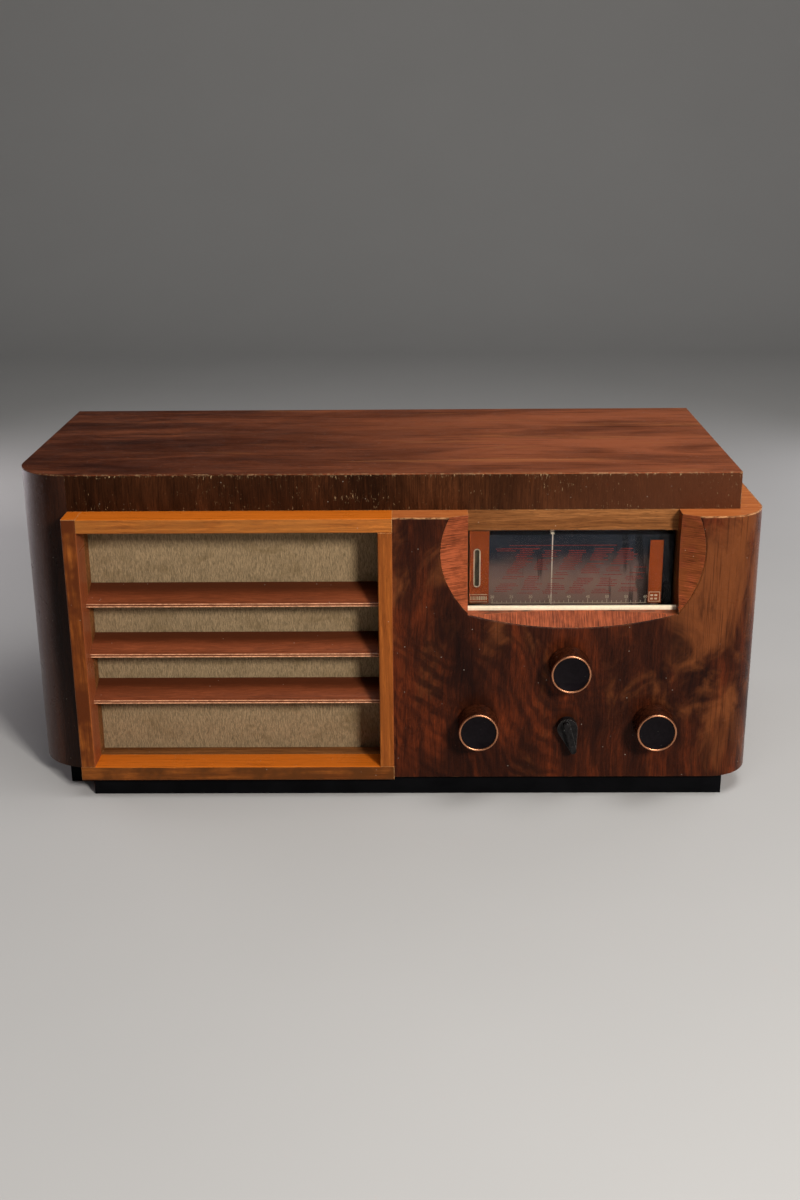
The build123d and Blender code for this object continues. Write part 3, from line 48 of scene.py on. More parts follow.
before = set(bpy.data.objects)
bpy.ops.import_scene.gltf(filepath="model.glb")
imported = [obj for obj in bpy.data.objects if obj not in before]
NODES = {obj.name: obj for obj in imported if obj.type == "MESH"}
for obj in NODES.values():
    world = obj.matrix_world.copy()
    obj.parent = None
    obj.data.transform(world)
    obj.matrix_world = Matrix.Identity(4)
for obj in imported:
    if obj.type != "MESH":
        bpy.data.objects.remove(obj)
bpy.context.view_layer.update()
MM = 0.001


def box_mm(node):
    """Lowest and highest corner of a CAD node, in millimetres."""
    low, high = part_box(node)
    return low / MM, high / MM


def tint(name, what, value):
    return FloatVectorProperty(
        name=name, description=what, subtype="COLOR", size=3, min=0, max=1, default=value
    )


def length(name, what, value):
    return FloatProperty(name=name, description=what, default=value, min=0, soft_max=500)


class RadioWood(bpy.types.PropertyGroup):
    burr_dark: tint("Burr, dark", "Darkest streaks of the front veneer", (0.012, 0.0035, 0.0022))
    burr_red: tint("Burr, red", "Middle tone of the front veneer", (0.145, 0.026, 0.0065))
    burr_gold: tint("Burr, gold", "Golden patches of the front veneer", (0.18, 0.052, 0.015))
    top_dark: tint("Top, dark", "Dark streaks of the top", (0.034, 0.0075, 0.003))
    top_light: tint("Top, light", "Light streaks of the top", (0.205, 0.058, 0.024))
    side_dark: tint("Sides, dark", "Dark tone of the sides", (0.016, 0.005, 0.0025))
    side_light: tint("Sides, light", "Light tone of the sides", (0.070, 0.022, 0.009))
    fascia_dark: tint("Fascia, dark", "Dark tone of the cross-grained band", (0.017, 0.0055, 0.002))
    fascia_light: tint("Fascia, light", "Light tone of the cross-grained band", (0.082, 0.025, 0.0085))
    honey_dark: tint("Frame, dark", "Dark grain lines of the grille frame", (0.13, 0.030, 0.006))
    honey_light: tint("Frame, light", "Light wood of the grille frame", (0.52, 0.155, 0.026))
    slat: tint("Slats", "Copper brown of the louvre slats", (0.225, 0.056, 0.020))
    core: tint("Gouged wood", "Wood bared by the gouges round the dial", (0.215, 0.050, 0.018))
    worn: tint("Worn wood", "Pale wood where the edges are rubbed through", (0.55, 0.38, 0.20))


class RadioCloth(bpy.types.PropertyGroup):
    thread: tint("Thread", "Pale thread of the grille cloth", (0.40, 0.275, 0.145))
    shade: tint("Between threads", "Gaps and stains of the grille cloth", (0.125, 0.086, 0.042))
    pitch: length("Crinkle", "Width of one crinkled thread, in millimetres", 0.55)
    relief: length("Relief", "How far threads stand up, in millimetres", 0.28)


class RadioDial(bpy.types.PropertyGroup):
    rust: tint("End panels", "Printed panels at both ends of the glass", (0.33, 0.062, 0.012))
    red: tint("Station rows", "Printed rows on the glass", (0.36, 0.045, 0.030))
    cream: tint("Cream print", "Ticks, numbers and outlines", (0.72, 0.60, 0.42))
    slate: tint("Tray", "Painted tray behind the glass", (0.070, 0.066, 0.066))
    rows: IntProperty(name="Rows", description="Rows of station marks", default=25, min=1, max=40)
    ticks: IntProperty(name="Ticks", description="Ticks along the scale", default=33, min=2, max=80)


class RadioKnobs(bpy.types.PropertyGroup):
    body: tint("Body", "Moulded body of the knobs", (0.034, 0.0085, 0.0035))
    ring: tint("Ring", "Copper ring round each knob's face", (0.62, 0.27, 0.14))
    face: tint("Face", "Dished face of the knobs", (0.0055, 0.004, 0.005))
    ring_width: length("Ring width", "Width of the copper ring, in millimetres", 1.7)


class RadioStage(bpy.types.PropertyGroup):
    floor: tint("Floor", "Plain floor and backdrop", (0.52, 0.515, 0.505))
    key: FloatProperty(
        name="Key light", description="Power of the main light", default=42, min=0, unit="POWER"
    )
    top: FloatProperty(
        name="Top light", description="Power of the light overhead", default=17, min=0, unit="POWER"
    )
    rim: FloatProperty(
        name="Side lights", description="Power of each side light", default=7, min=0, unit="POWER"
    )
    lens: FloatProperty(
        name="Lens", description="Focal length of the camera, in millimetres", default=43.1, min=1
    )


GROUPS = {
    "radio_wood": RadioWood,
    "radio_cloth": RadioCloth,
    "radio_dial": RadioDial,
    "radio_knobs": RadioKnobs,
    "radio_stage": RadioStage,
}


def rgba(colour):
    return (*colour[:3], 1.0)


def scaled(colour, factor):
    return rgba([min(1, c * factor) for c in colour])


# ---------------------------------------------------------------- shader tools
def put(tree, kind, feeds=None, **settings):
    """Adds one node. Feeds gives each named socket a value or the socket that drives it."""
    node = tree.nodes.new("ShaderNode" + kind)
    for name, value in settings.items():
        setattr(node, name, value)
    for name, value in (feeds or {}).items():
        if isinstance(value, bpy.types.NodeSocket):
            tree.links.new(value, node.inputs[name])
        else:
            node.inputs[name].default_value = value
    return node


def maths(tree, operation, *values, clamp=False):
    feeds = dict(enumerate(values))
    return put(tree, "Math", feeds, operation=operation, use_clamp=clamp).outputs[0]


def times(tree, first, second, clamp=False):
    return maths(tree, "MULTIPLY", first, second, clamp=clamp)


def plus(tree, first, second):
    return maths(tree, "ADD", first, second)


def spread(tree, value, low, high, to_low=0.0, to_high=1.0):
    """Maps low..high smoothly to to_low..to_high."""
    feeds = {"Value": value, "From Min": low, "From Max": high, "To Min": to_low, "To Max": to_high}
    return put(tree, "MapRange", feeds, interpolation_type="SMOOTHSTEP").outputs[0]


def mixed(tree, factor, first, second, how="MIX"):
    return put(tree, "Mix", {0: factor, 6: first, 7: second}, data_type="RGBA", blend_type=how).outputs[2]


def laid(tree, under, over, value, low, high, most=1.0):
    """Lays one colour over another: none of it at the first level, the most at the second."""
    return mixed(tree, spread(tree, value, low, high, 0.0, most), under, over)


def shaded(tree, factor, *stops):
    """A colour ramp through (position, colour) stops."""
    node = put(tree, "ValToRGB", {"Fac": factor})
    elements = node.color_ramp.elements
    while len(elements) < len(stops):
        elements.new(0.5)
    for element, (position, colour) in zip(elements, stops):
        element.position = position
        element.color = rgba(colour)
    return node.outputs[0]


def stretched(tree, vector, factors):
    return put(tree, "VectorMath", {0: vector, 1: factors}, operation="MULTIPLY").outputs[0]


def cloudy(tree, vector, scale=1.0, detail=3.0, rough=0.5, bend=0.0, output=0):
    """Noise: its value, or with output 1 its colour."""
    feeds = {"Vector": vector, "Scale": scale, "Detail": detail, "Roughness": rough, "Distortion": bend}
    return put(tree, "TexNoise", feeds).outputs[output]


def streaky(tree, vector, ratios, *shape):
    """Noise drawn out along each axis by its own ratio."""
    return cloudy(tree, stretched(tree, vector, ratios), 1.0, *shape)


def object_mm(tree, turn=(0, 0, 0)):
    """Object coordinates in millimetres, turned so that the grain runs along Z."""
    place = put(tree, "TexCoord").outputs["Object"]
    return put(tree, "Mapping", {"Vector": place, "Scale": (1 / MM,) * 3, "Rotation": turn}).outputs[0]


def new_group(name, inputs, outputs):
    """A shader node group, its input sockets by name, and its output node."""
    tree = bpy.data.node_groups.new(name, "ShaderNodeTree")
    for label, kind, value in inputs:
        socket = tree.interface.new_socket(label, in_out="INPUT", socket_type="NodeSocket" + kind)
        if value is not None:
            socket.default_value = value
    for label, kind in outputs:
        tree.interface.new_socket(label, in_out="OUTPUT", socket_type="NodeSocket" + kind)
    entry = tree.nodes.new("NodeGroupInput")
    leave = tree.nodes.new("NodeGroupOutput")
    return tree, entry.outputs, leave


def join(tree, leave, **results):
    for label, socket in results.items():
        tree.links.new(socket, leave.inputs[label.replace("_", " ")])


def grain_group():
    """Figure, growth rings, fibres and pores of wood whose grain runs along Z."""
    if "Wood Grain" in bpy.data.node_groups:
        return bpy.data.node_groups["Wood Grain"]
    tree, given, leave = new_group(
        "Wood Grain",
        [
            ("Vector", "Vector", None),
            ("Figure Size", "Float", 30.0),
            ("Stretch", "Float", 6.0),
            ("Swirl", "Float", 8.0),
            ("Ring Size", "Float", 5.0),
        ],
        [
            ("Figure", "Float"), ("Rings", "Float"), ("Streak", "Float"), ("Fibre", "Float"),
            ("Pore", "Float"),
        ],
    )
    per_figure = maths(tree, "DIVIDE", 1.0, given["Figure Size"])
    coarse = put(
        tree, "VectorMath", {0: given["Vector"], "Scale": per_figure}, operation="SCALE"
    ).outputs[0]
    drift = cloudy(tree, coarse, 0.45, 2.0, 0.5, output=1)
    centred = put(tree, "VectorMath", {0: drift, 1: (0.5, 0.5, 0.5)}, operation="SUBTRACT").outputs[0]
    pushed = put(tree, "VectorMath", {0: centred, "Scale": given["Swirl"]}, operation="SCALE").outputs[0]
    warped = put(tree, "VectorMath", {0: given["Vector"], 1: pushed}, operation="ADD").outputs[0]
    along = maths(tree, "DIVIDE", 1.0, given["Stretch"])
    ratios = put(tree, "CombineXYZ", {"X": 1.0, "Y": 1.0, "Z": along}).outputs[0]
    drawn = stretched(tree, warped, ratios)
    figured = put(tree, "VectorMath", {0: drawn, "Scale": per_figure}, operation="SCALE").outputs[0]
    figure = cloudy(tree, figured, 1.0, 5.0, 0.58, 0.5)
    per_ring = maths(tree, "DIVIDE", 1.0, given["Ring Size"])
    ringed = put(tree, "VectorMath", {0: drawn, "Scale": per_ring}, operation="SCALE").outputs[0]
    rings = put(
        tree,
        "TexWave",
        {"Vector": ringed, "Scale": 0.314, "Distortion": 3.0, "Detail": 3.0, "Detail Scale": 0.7},
        wave_type="BANDS",
        bands_direction="DIAGONAL",
    ).outputs[1]
    streak = streaky(tree, warped, (0.42, 0.42, 0.011), 4.0, 0.66, 0.25)
    fibre = streaky(tree, warped, (1.7, 1.7, 0.05), 3.0, 0.6)
    pores = streaky(tree, warped, (3.4, 3.4, 0.16), 1.0, 0.5)
    pore = spread(tree, pores, 0.60, 0.72)
    join(tree, leave, Figure=figure, Rings=rings, Streak=streak, Fibre=fibre, Pore=pore)
    return tree


def wear_group():
    """Where an edge is rubbed, and the normal that rounds it."""
    if "Edge Wear" in bpy.data.node_groups:
        return bpy.data.node_groups["Edge Wear"]
    tree, given, leave = new_group(
        "Edge Wear",
        [("Vector", "Vector", None), ("Radius", "Float", 0.0012), ("Amount", "Float", 0.5)],
        [("Mask", "Float"), ("Normal", "Vector")],
    )
    rounded = put(tree, "Bevel", {"Radius": given["Radius"]}, samples=4).outputs[0]
    flat = put(tree, "NewGeometry").outputs["Normal"]
    agree = put(tree, "VectorMath", {0: rounded, 1: flat}, operation="DOT_PRODUCT").outputs["Value"]
    edge = spread(tree, agree, 0.995, 0.86)
    broken = cloudy(tree, given["Vector"], 0.22, 5.0, 0.72)
    level = maths(tree, "SUBTRACT", 1.0, given["Amount"])
    patchy = spread(tree, maths(tree, "SUBTRACT", broken, level), -0.1, 0.12)
    join(tree, leave, Mask=times(tree, edge, patchy, clamp=True), Normal=rounded)
    return tree


def dust_group():
    """Smudges in the polish, dust specks and fine scratches."""
    if "Dust" in bpy.data.node_groups:
        return bpy.data.node_groups["Dust"]
    tree, given, leave = new_group(
        "Dust",
        [("Vector", "Vector", None), ("Specks", "Float", 0.5)],
        [("Smudge", "Float"), ("Speck", "Float"), ("Scratch", "Float")],
    )
    smudge = cloudy(tree, given["Vector"], 0.03, 4.0, 0.6, 0.8)
    cells = put(tree, "TexVoronoi", {"Vector": given["Vector"], "Scale": 0.16, "Randomness": 1.0})
    near = spread(tree, cells.outputs["Distance"], 0.085, 0.035)
    chosen = put(tree, "SeparateColor", {"Color": cells.outputs["Color"]}).outputs[0]
    kept = maths(tree, "LESS_THAN", chosen, given["Specks"])
    lines = streaky(tree, given["Vector"], (0.10, 1.6, 0.9), 2.0, 0.5, 1.2)
    scratch = spread(tree, lines, 0.70, 0.76)
    join(tree, leave, Smudge=smudge, Speck=times(tree, near, kept), Scratch=scratch)
    return tree


def use(tree, group, **feeds):
    node = tree.nodes.new("ShaderNodeGroup")
    node.node_tree = group
    for label, value in feeds.items():
        label = label.replace("_", " ")
        if isinstance(value, bpy.types.NodeSocket):
            tree.links.new(value, node.inputs[label])
        else:
            node.inputs[label].default_value = value
    return node.outputs


def blank(name, **settings):
    """A new material with a bare Principled shader, its plain sockets set."""
    material = bpy.data.materials.new(name)
    material.use_nodes = True
    tree = material.node_tree
    tree.nodes.clear()
    shader = put(tree, "BsdfPrincipled")
    for label, value in settings.items():
        shader.inputs[label.replace("_", " ")].default_value = value
    leave = tree.nodes.new("ShaderNodeOutputMaterial")
    tree.links.new(shader.outputs[0], leave.inputs["Surface"])
    return material, tree, shader


def surfaced(tree, shader, colour, roughness, height, relief, normal=None):
    """Sends a colour, a roughness and a height to the shader."""
    tree.links.new(colour, shader.inputs["Base Color"])
    tree.links.new(roughness, shader.inputs["Roughness"])
    raised(tree, shader, height, relief, normal)


def raised(tree, shader, height, distance, normal=None):
    """Sends a height, in millimetres of relief, to the shader's normal."""
    feeds = {"Height": height, "Distance": distance * MM, "Strength": 1.0}
    if normal is not None:
        feeds["Normal"] = normal
    bump = put(tree, "Bump", feeds)
    tree.links.new(bump.outputs[0], shader.inputs["Normal"])


# ---------------------------------------------------------------- materials
ALONG_Z = (0, 0, 0)
ALONG_X = (0, radians(90), 0)


def wood(
    name,
    dark,
    light,
    turn=ALONG_Z,
    figure=26.0,
    stretch=7.0,
    swirl=14.0,
    ring=6.0,
    ring_depth=0.15,
    streak_depth=0.5,
    worn=(0.5, 0.35, 0.2),
    wear=0.42,
    edge=1.2,
    rough=(0.30, 0.46),
    coat=0.02,
    shine=0.04,
    relief=0.10,
    specks=0.25,
    recolour=None,
):
    """Lacquered wood; recolour may change the colour further before wear and dust go on."""
    material, tree, shader = blank(name, Coat_Weight=coat, Coat_Roughness=0.16, Specular_IOR_Level=shine)
    place = object_mm(tree, turn)
    grain = use(
        tree, grain_group(), Vector=place, Figure_Size=figure, Stretch=stretch, Swirl=swirl, Ring_Size=ring
    )
    tone = maths(tree, "MULTIPLY_ADD", grain["Rings"], ring_depth, grain["Figure"])
    tone = maths(tree, "MULTIPLY_ADD", grain["Streak"], streak_depth, tone)
    tone = maths(tree, "SUBTRACT", tone, (ring_depth + streak_depth) / 2)
    mid = tuple((a * b) ** 0.5 for a, b in zip(dark, light))
    colour = shaded(tree, tone, (0.30, dark), (0.50, mid), (0.72, light))
    fibre = spread(tree, grain["Fibre"], 0.3, 0.7, 0.68, 1.22)
    fibre_tone = put(tree, "CombineColor", {"Red": fibre, "Green": fibre, "Blue": fibre}).outputs[0]
    colour = mixed(tree, 1.0, colour, fibre_tone, "MULTIPLY")
    colour = mixed(tree, times(tree, grain["Pore"], 0.55), colour, scaled(dark, 0.35))
    if recolour is not None:
        colour = recolour(tree, colour, grain)
    upright = object_mm(tree)
    rubbed = use(tree, wear_group(), Vector=upright, Radius=edge * MM, Amount=wear)
    colour = mixed(tree, times(tree, rubbed["Mask"], 0.8), colour, rgba(worn))
    dust = use(tree, dust_group(), Vector=upright, Specks=specks)
    colour = mixed(tree, times(tree, dust["Speck"], 0.55), colour, (0.5, 0.44, 0.36, 1))
    gloss = spread(tree, dust["Smudge"], 0.3, 0.7, *rough)
    gloss = maths(tree, "MULTIPLY_ADD", dust["Scratch"], 0.12, gloss)
    height = maths(tree, "MULTIPLY_ADD", grain["Pore"], -0.8, grain["Fibre"])
    surfaced(tree, shader, colour, gloss, height, relief, rubbed["Normal"])
    return material


def axis_of(tree, vector, axis):
    return put(tree, "SeparateXYZ", {"Vector": vector}).outputs[axis]


def facing(tree, axis):
    """How far a face looks along one axis, from -1 to 1."""
    return axis_of(tree, put(tree, "NewGeometry").outputs["Normal"], axis)


def burr_veneer():
    """Dark walnut burr: soft upright figure, flames at the lower left, golden towards the right."""
    look = bpy.context.scene.radio_wood
    low, high = box_mm("front_panel_veneer")
    left, top = low.x, high.z

    def patches(tree, colour, grain):
        place = object_mm(tree)
        across = axis_of(tree, place, 0)
        up = axis_of(tree, place, 2)
        bends = cloudy(tree, stretched(tree, place, (0.012, 0.012, 0.009)), 1.0, 2.0, 0.5, output=1)
        swept = put(
            tree, "VectorMath", {0: bends, 1: (70, 0, 90), 2: place}, operation="MULTIPLY_ADD"
        ).outputs[0]
        blots = streaky(tree, swept, (0.026, 0.026, 0.014), 5.0, 0.6, 0.5)
        gold_side = spread(tree, across, left + 200, left + 292, 0.0, 0.13)
        by_frame = spread(tree, across, left + 52, left + 14, 0.0, 0.06)
        upper = spread(tree, up, 110, 235, -0.03, 0.05)
        lift = plus(tree, plus(tree, gold_side, by_frame), upper)
        golden = spread(tree, plus(tree, blots, lift), 0.50, 0.74)
        colour = mixed(tree, times(tree, golden, 0.85), colour, rgba(look.burr_gold))
        flames = put(
            tree,
            "TexWave",
            {
                "Vector": swept, "Scale": 0.042, "Distortion": 16.0, "Detail": 5.0, "Detail Scale": 0.22,
                "Detail Roughness": 0.62,
            },
            wave_type="BANDS",
            bands_direction="DIAGONAL",
        ).outputs[1]
        fade = spread(tree, across, left + 215, left + 70, 0.15, 0.9)
        low_down = spread(tree, up, 190, 90, 0.25, 1.0)
        patchy = spread(tree, blots, 0.40, 0.58, 0.25, 0.85)
        darker = times(tree, spread(tree, flames, 0.85, 0.05), times(tree, fade, low_down))
        darker = times(tree, darker, patchy)
        colour = mixed(tree, darker, colour, rgba(look.burr_dark))
        upright = streaky(tree, place, (0.055, 0.055, 0.008), 5.0, 0.62, 0.7)
        colour = laid(tree, colour, rgba(look.burr_dark), upright, 0.52, 0.70, 0.70)
        lines = streaky(tree, place, (0.7, 0.7, 0.014), 3.0, 0.6, 0.2)
        colour = laid(tree, colour, rgba(look.burr_dark), lines, 0.52, 0.70, 0.5)
        chips = streaky(tree, place, (0.16, 0.16, 0.5), 4.0, 0.7)
        rim = times(
            tree, spread(tree, up, top - 1.6, top - 0.4), spread(tree, chips, 0.40, 0.56, 0.15, 0.9)
        )
        return mixed(tree, rim, colour, (0.62, 0.30, 0.13, 1))

    return wood(
        "Burr walnut veneer", look.burr_dark, look.burr_red, figure=40, stretch=3.4, swirl=18, ring=16,
        ring_depth=0.08, streak_depth=0.35, worn=(0.30, 0.13, 0.05), wear=0.44, edge=0.6,
        rough=(0.22, 0.34), coat=0.0,
        shine=0.07, relief=0.05, specks=0.22, recolour=patches,
    )


def top_veneer():
    """Walnut laid lengthways, with a painted sheen that makes it paler towards the right."""
    look = bpy.context.scene.radio_wood
    low, high = box_mm("top_veneer")

    def painted_sheen_top(tree, colour, grain):
        place = object_mm(tree)
        across = axis_of(tree, place, 0)
        clouds = streaky(tree, place, (0.006, 0.020, 0.01), 4.0, 0.6, 0.6)
        # painted sheen: paler towards the right
        right = spread(tree, across, low.x + 60, high.x - 100, 0.0, 0.95)
        pale = times(tree, spread(tree, clouds, 0.34, 0.62, 0.35, 1.0), right)
        colour = mixed(tree, pale, colour, scaled(look.top_light, 1.6))
        lines = streaky(tree, place, (0.010, 0.35, 0.35), 5.0, 0.66, 0.3)
        colour = laid(tree, colour, rgba(look.top_dark), lines, 0.50, 0.72, 0.70)
        gold = streaky(tree, place, (0.005, 0.055, 0.05), 4.0, 0.6, 0.4)
        gilt = times(
            tree, spread(tree, gold, 0.55, 0.72, 0.0, 0.5), spread(tree, across, low.x, 60, 0.15, 1.0)
        )
        return mixed(tree, gilt, colour, (0.42, 0.150, 0.052, 1))

    return wood(
        "Walnut top", look.top_dark, look.top_light, turn=ALONG_X, figure=38, stretch=6, swirl=30, ring=14,
        ring_depth=0.08, streak_depth=0.55, worn=look.worn, wear=0.47, edge=1.0, rough=(0.34, 0.48),
        coat=0.0,
        shine=0.02, specks=0.6, relief=0.06, recolour=painted_sheen_top,
    )


def side_wood():
    """Dark walnut with a painted sheen: paler on the rounded corner, most of all higher up."""
    look = bpy.context.scene.radio_wood
    low, high = box_mm("left_side")

    def painted_sheen_side(tree, colour, grain):
        place = object_mm(tree)
        sideways = maths(tree, "ABSOLUTE", facing(tree, 0))
        patch = streaky(tree, place, (0.02, 0.02, 0.008), 4.0, 0.6)
        height = spread(tree, axis_of(tree, place, 2), low.z, high.z - 60, 0.10, 0.42)
        rounded = times(
            tree, spread(tree, sideways, 0.35, 0.85), spread(tree, sideways, 0.97, 1.0, 1.0, 0.16)
        )
        # painted sheen: paler where the rounded corner turns to the side, more so higher up
        film = times(tree, rounded, height)
        film = times(tree, film, spread(tree, patch, 0.3, 0.7, 0.6, 1.1))
        return mixed(tree, film, colour, (0.30, 0.215, 0.205, 1))

    return wood(
        "Walnut side", look.side_dark, look.side_light, figure=40, stretch=7, swirl=14, ring=14,
        ring_depth=0.08,
        streak_depth=0.35, worn=look.worn, wear=0.32, edge=0.7, rough=(0.26, 0.36), coat=0.0,
        shine=0.14, specks=0.3,
        recolour=painted_sheen_side,
    )


def fascia_wood():
    """Cross-grained band, rubbed along its upper and lower edges, and painted lighter and greyer towards
    the right as painted light.
    """
    look = bpy.context.scene.radio_wood
    low, high = box_mm("top_fascia")

    def scuffs(tree, colour, grain):
        place = object_mm(tree)
        up = axis_of(tree, place, 2)
        streaks = streaky(tree, place, (0.9, 0.9, 0.22), 5.0, 0.75)
        places = streaky(tree, place, (0.022, 0.022, 0.06), 2.0)
        top = spread(tree, up, high.z - 5, high.z + 0.5, 0.0, 0.085)
        foot = spread(tree, up, low.z + 6, low.z, 0.0, 0.025)
        level = plus(tree, plus(tree, top, foot), streaks)
        level = maths(tree, "MULTIPLY_ADD", places, 0.16, level)
        # painted light: lighter and greyer towards the right
        right = spread(tree, axis_of(tree, place, 0), low.x + 300, high.x, 0.0, 0.75)
        right_painted_light = rgba([a * b for a, b in zip(look.fascia_light, (1.2, 1.25, 1.6))])
        colour = mixed(tree, right, colour, right_painted_light)
        return laid(tree, colour, rgba(look.worn), level, 0.735, 0.80, 0.75)

    return wood(
        "Cross-grained fascia", look.fascia_dark, look.fascia_light, figure=46, stretch=3, swirl=10, ring=7,
        ring_depth=0.05, streak_depth=0.45, worn=look.worn, wear=0.42, edge=0.8, rough=(0.36, 0.52),
        coat=0.0,
        shine=0.03, specks=0.25, recolour=scuffs,
    )


def honey_wood(name, turn, dull=0.0, brown=(0.20, 0.070, 0.018)):
    """Honey lacquered softwood, with painted light by the way each face looks: front faces darker and
    browner, faces looking along +X redder, faces that look up bright orange.
    """
    look = bpy.context.scene.radio_wood

    def painted_light_by_facing(tree, colour, grain):
        ahead = facing(tree, 1)
        # painted shade: front faces darker and browner, the more so with dull
        front = spread(tree, ahead, -0.5, -0.9, 0.0, 0.42 + dull)
        patch = cloudy(tree, object_mm(tree), 0.03, 3.0, 0.6)
        front = times(tree, front, spread(tree, patch, 0.3, 0.65, 0.5, 1.3), clamp=True)
        lit_and_shaded_by_facing = mixed(tree, front, colour, rgba(brown))
        across = facing(tree, 0)
        # painted light: faces looking along +X redder and brighter
        lit_and_shaded_by_facing = laid(tree, lit_and_shaded_by_facing, (0.27, 0.070, 0.026, 1), across, 0.6, 0.9, 0.7)
        above = facing(tree, 2)
        # painted light: faces that look up bright orange
        lit_and_shaded_by_facing = laid(tree, lit_and_shaded_by_facing, (0.72, 0.165, 0.010, 1), above, 0.6, 0.9, 0.75)
        cracks = streaky(tree, object_mm(tree, turn), (0.9, 0.9, 0.02), 4.0, 0.7, 0.4)
        open_grain = spread(tree, above, 0.6, 0.9, 0.62, 0.55)
        dark = spread(tree, maths(tree, "SUBTRACT", cracks, open_grain), 0.0, 0.12, 0.0, 0.6)
        return mixed(tree, dark, lit_and_shaded_by_facing, scaled(look.honey_dark, 0.5))

    # the pale worn edges are partly real wear and partly a painted highlight along the frame's edges
    return wood(
        name, look.honey_dark, look.honey_light, turn=turn, figure=16, stretch=20, swirl=3, ring=3.2,
        ring_depth=0.10,
        streak_depth=0.75, worn=(0.74, 0.42, 0.18), wear=0.58, edge=0.9, rough=(0.26, 0.38), coat=0.03,
        relief=0.07,
        specks=0.2, recolour=painted_light_by_facing,
    )


def slat_wood():
    look = bpy.context.scene.radio_wood
    light = tuple(min(1, c * 1.25) for c in look.slat)
    dark = tuple(c * 0.62 for c in look.slat)
    back = box_mm("louvre_slat_upper")[0].y

    def back_shade(tree, colour, grain):
        """Painted shade: the part nearest the cloth is darker."""
        place = object_mm(tree)
        nap = streaky(tree, place, (0.05, 0.3, 0.3), 4.0, 0.6)
        colour = laid(tree, colour, scaled(look.slat, 0.8), nap, 0.35, 0.7, 0.35)
        depth = maths(tree, "MULTIPLY_ADD", nap, 5.0, axis_of(tree, place, 1))
        # painted shade, darker towards the back of the slat
        back_painted_shade = spread(tree, depth, back + 11, back + 21, 0.0, 0.85)
        return mixed(tree, back_painted_shade, colour, scaled(look.slat, 0.30))

    return wood(
        "Copper lacquered slat", dark, light, turn=ALONG_X, figure=30, stretch=6, swirl=6, ring=9,
        ring_depth=0.05,
        streak_depth=0.20, worn=(0.62, 0.30, 0.17), wear=0.5, edge=0.5, rough=(0.28, 0.40), coat=0.05,
        shine=0.10,
        relief=0.03, specks=0.35, recolour=back_shade,
    )


def panel_core():
    """The solid under the burr: its up-facing ledge on top painted bright orange as painted light, fine
    gouge lines round the window.
    """
    look = bpy.context.scene.radio_wood
    low, high = box_mm("dial_sill_strip")

    def gouged(tree, colour, grain):
        place = object_mm(tree)
        across, up = axis_of(tree, place, 0), axis_of(tree, place, 2)
        jitter = cloudy(tree, place, 0.12, 3.0)
        level = streaky(tree, place, (0.05, 0.05, 2.1), 3.0, 0.7)
        plumb = streaky(tree, place, (2.1, 0.05, 0.05), 3.0, 0.7)
        under = maths(tree, "LESS_THAN", up, low.z)
        lines = put(tree, "Mix", {0: under, 2: level, 3: plumb}, data_type="FLOAT").outputs[0]
        bared = shaded(
            tree,
            maths(tree, "MULTIPLY_ADD", jitter, 0.25, lines),
            (0.46, [c * 0.35 for c in look.core]),
            (0.60, look.core),
            (0.74, [min(1, c * 1.9) for c in look.core]),
        )
        right = spread(tree, across, high.x - 6, high.x, 0.0, 0.6)
        bared = mixed(
            tree, times(tree, right, spread(tree, jitter, 0.3, 0.6)), bared, (0.14, 0.042, 0.009, 1)
        )
        blots = cloudy(tree, place, 0.05, 4.0, 0.65)
        bared = laid(tree, bared, scaled(look.core, 0.4), blots, 0.52, 0.72, 0.6)
        upward = facing(tree, 2)
        # painted light: the up-facing ledge is bright orange
        ledge_painted_light = times(tree, spread(tree, upward, 0.8, 0.95), spread(tree, up, low.z + 60, low.z + 80))
        orange = laid(tree, (0.55, 0.17, 0.045, 1), (0.38, 0.095, 0.022, 1), grain["Streak"], 0.35, 0.65)
        return mixed(tree, ledge_painted_light, bared, orange)

    return wood(
        "Bared panel wood", look.honey_dark, look.honey_light, turn=ALONG_X, figure=12, stretch=10,
        swirl=5, ring=4,
        worn=(0.52, 0.28, 0.14), wear=0.52, edge=0.6, rough=(0.30, 0.44), coat=0.03, relief=0.06,
        specks=0.15,
        recolour=gouged,
    )


def board_wood():
    return wood(
        "Front board", (0.14, 0.048, 0.013), (0.32, 0.125, 0.038), turn=ALONG_X, figure=20, stretch=18,
        swirl=3,
        ring=3, ring_depth=0.08, streak_depth=0.7, worn=(0.5, 0.32, 0.15), wear=0.4, rough=(0.42, 0.6),
        coat=0.04,
        relief=0.08, specks=0.2,
    )


def plain_wood():
    return wood(
        "Unfinished deal", (0.20, 0.11, 0.05), (0.52, 0.34, 0.17), turn=ALONG_X, figure=18, stretch=12,
        swirl=8,
        ring=6, ring_depth=0.5, worn=(0.6, 0.45, 0.27), wear=0.35, rough=(0.6, 0.78), coat=0.0,
        relief=0.2, specks=0.4,
    )


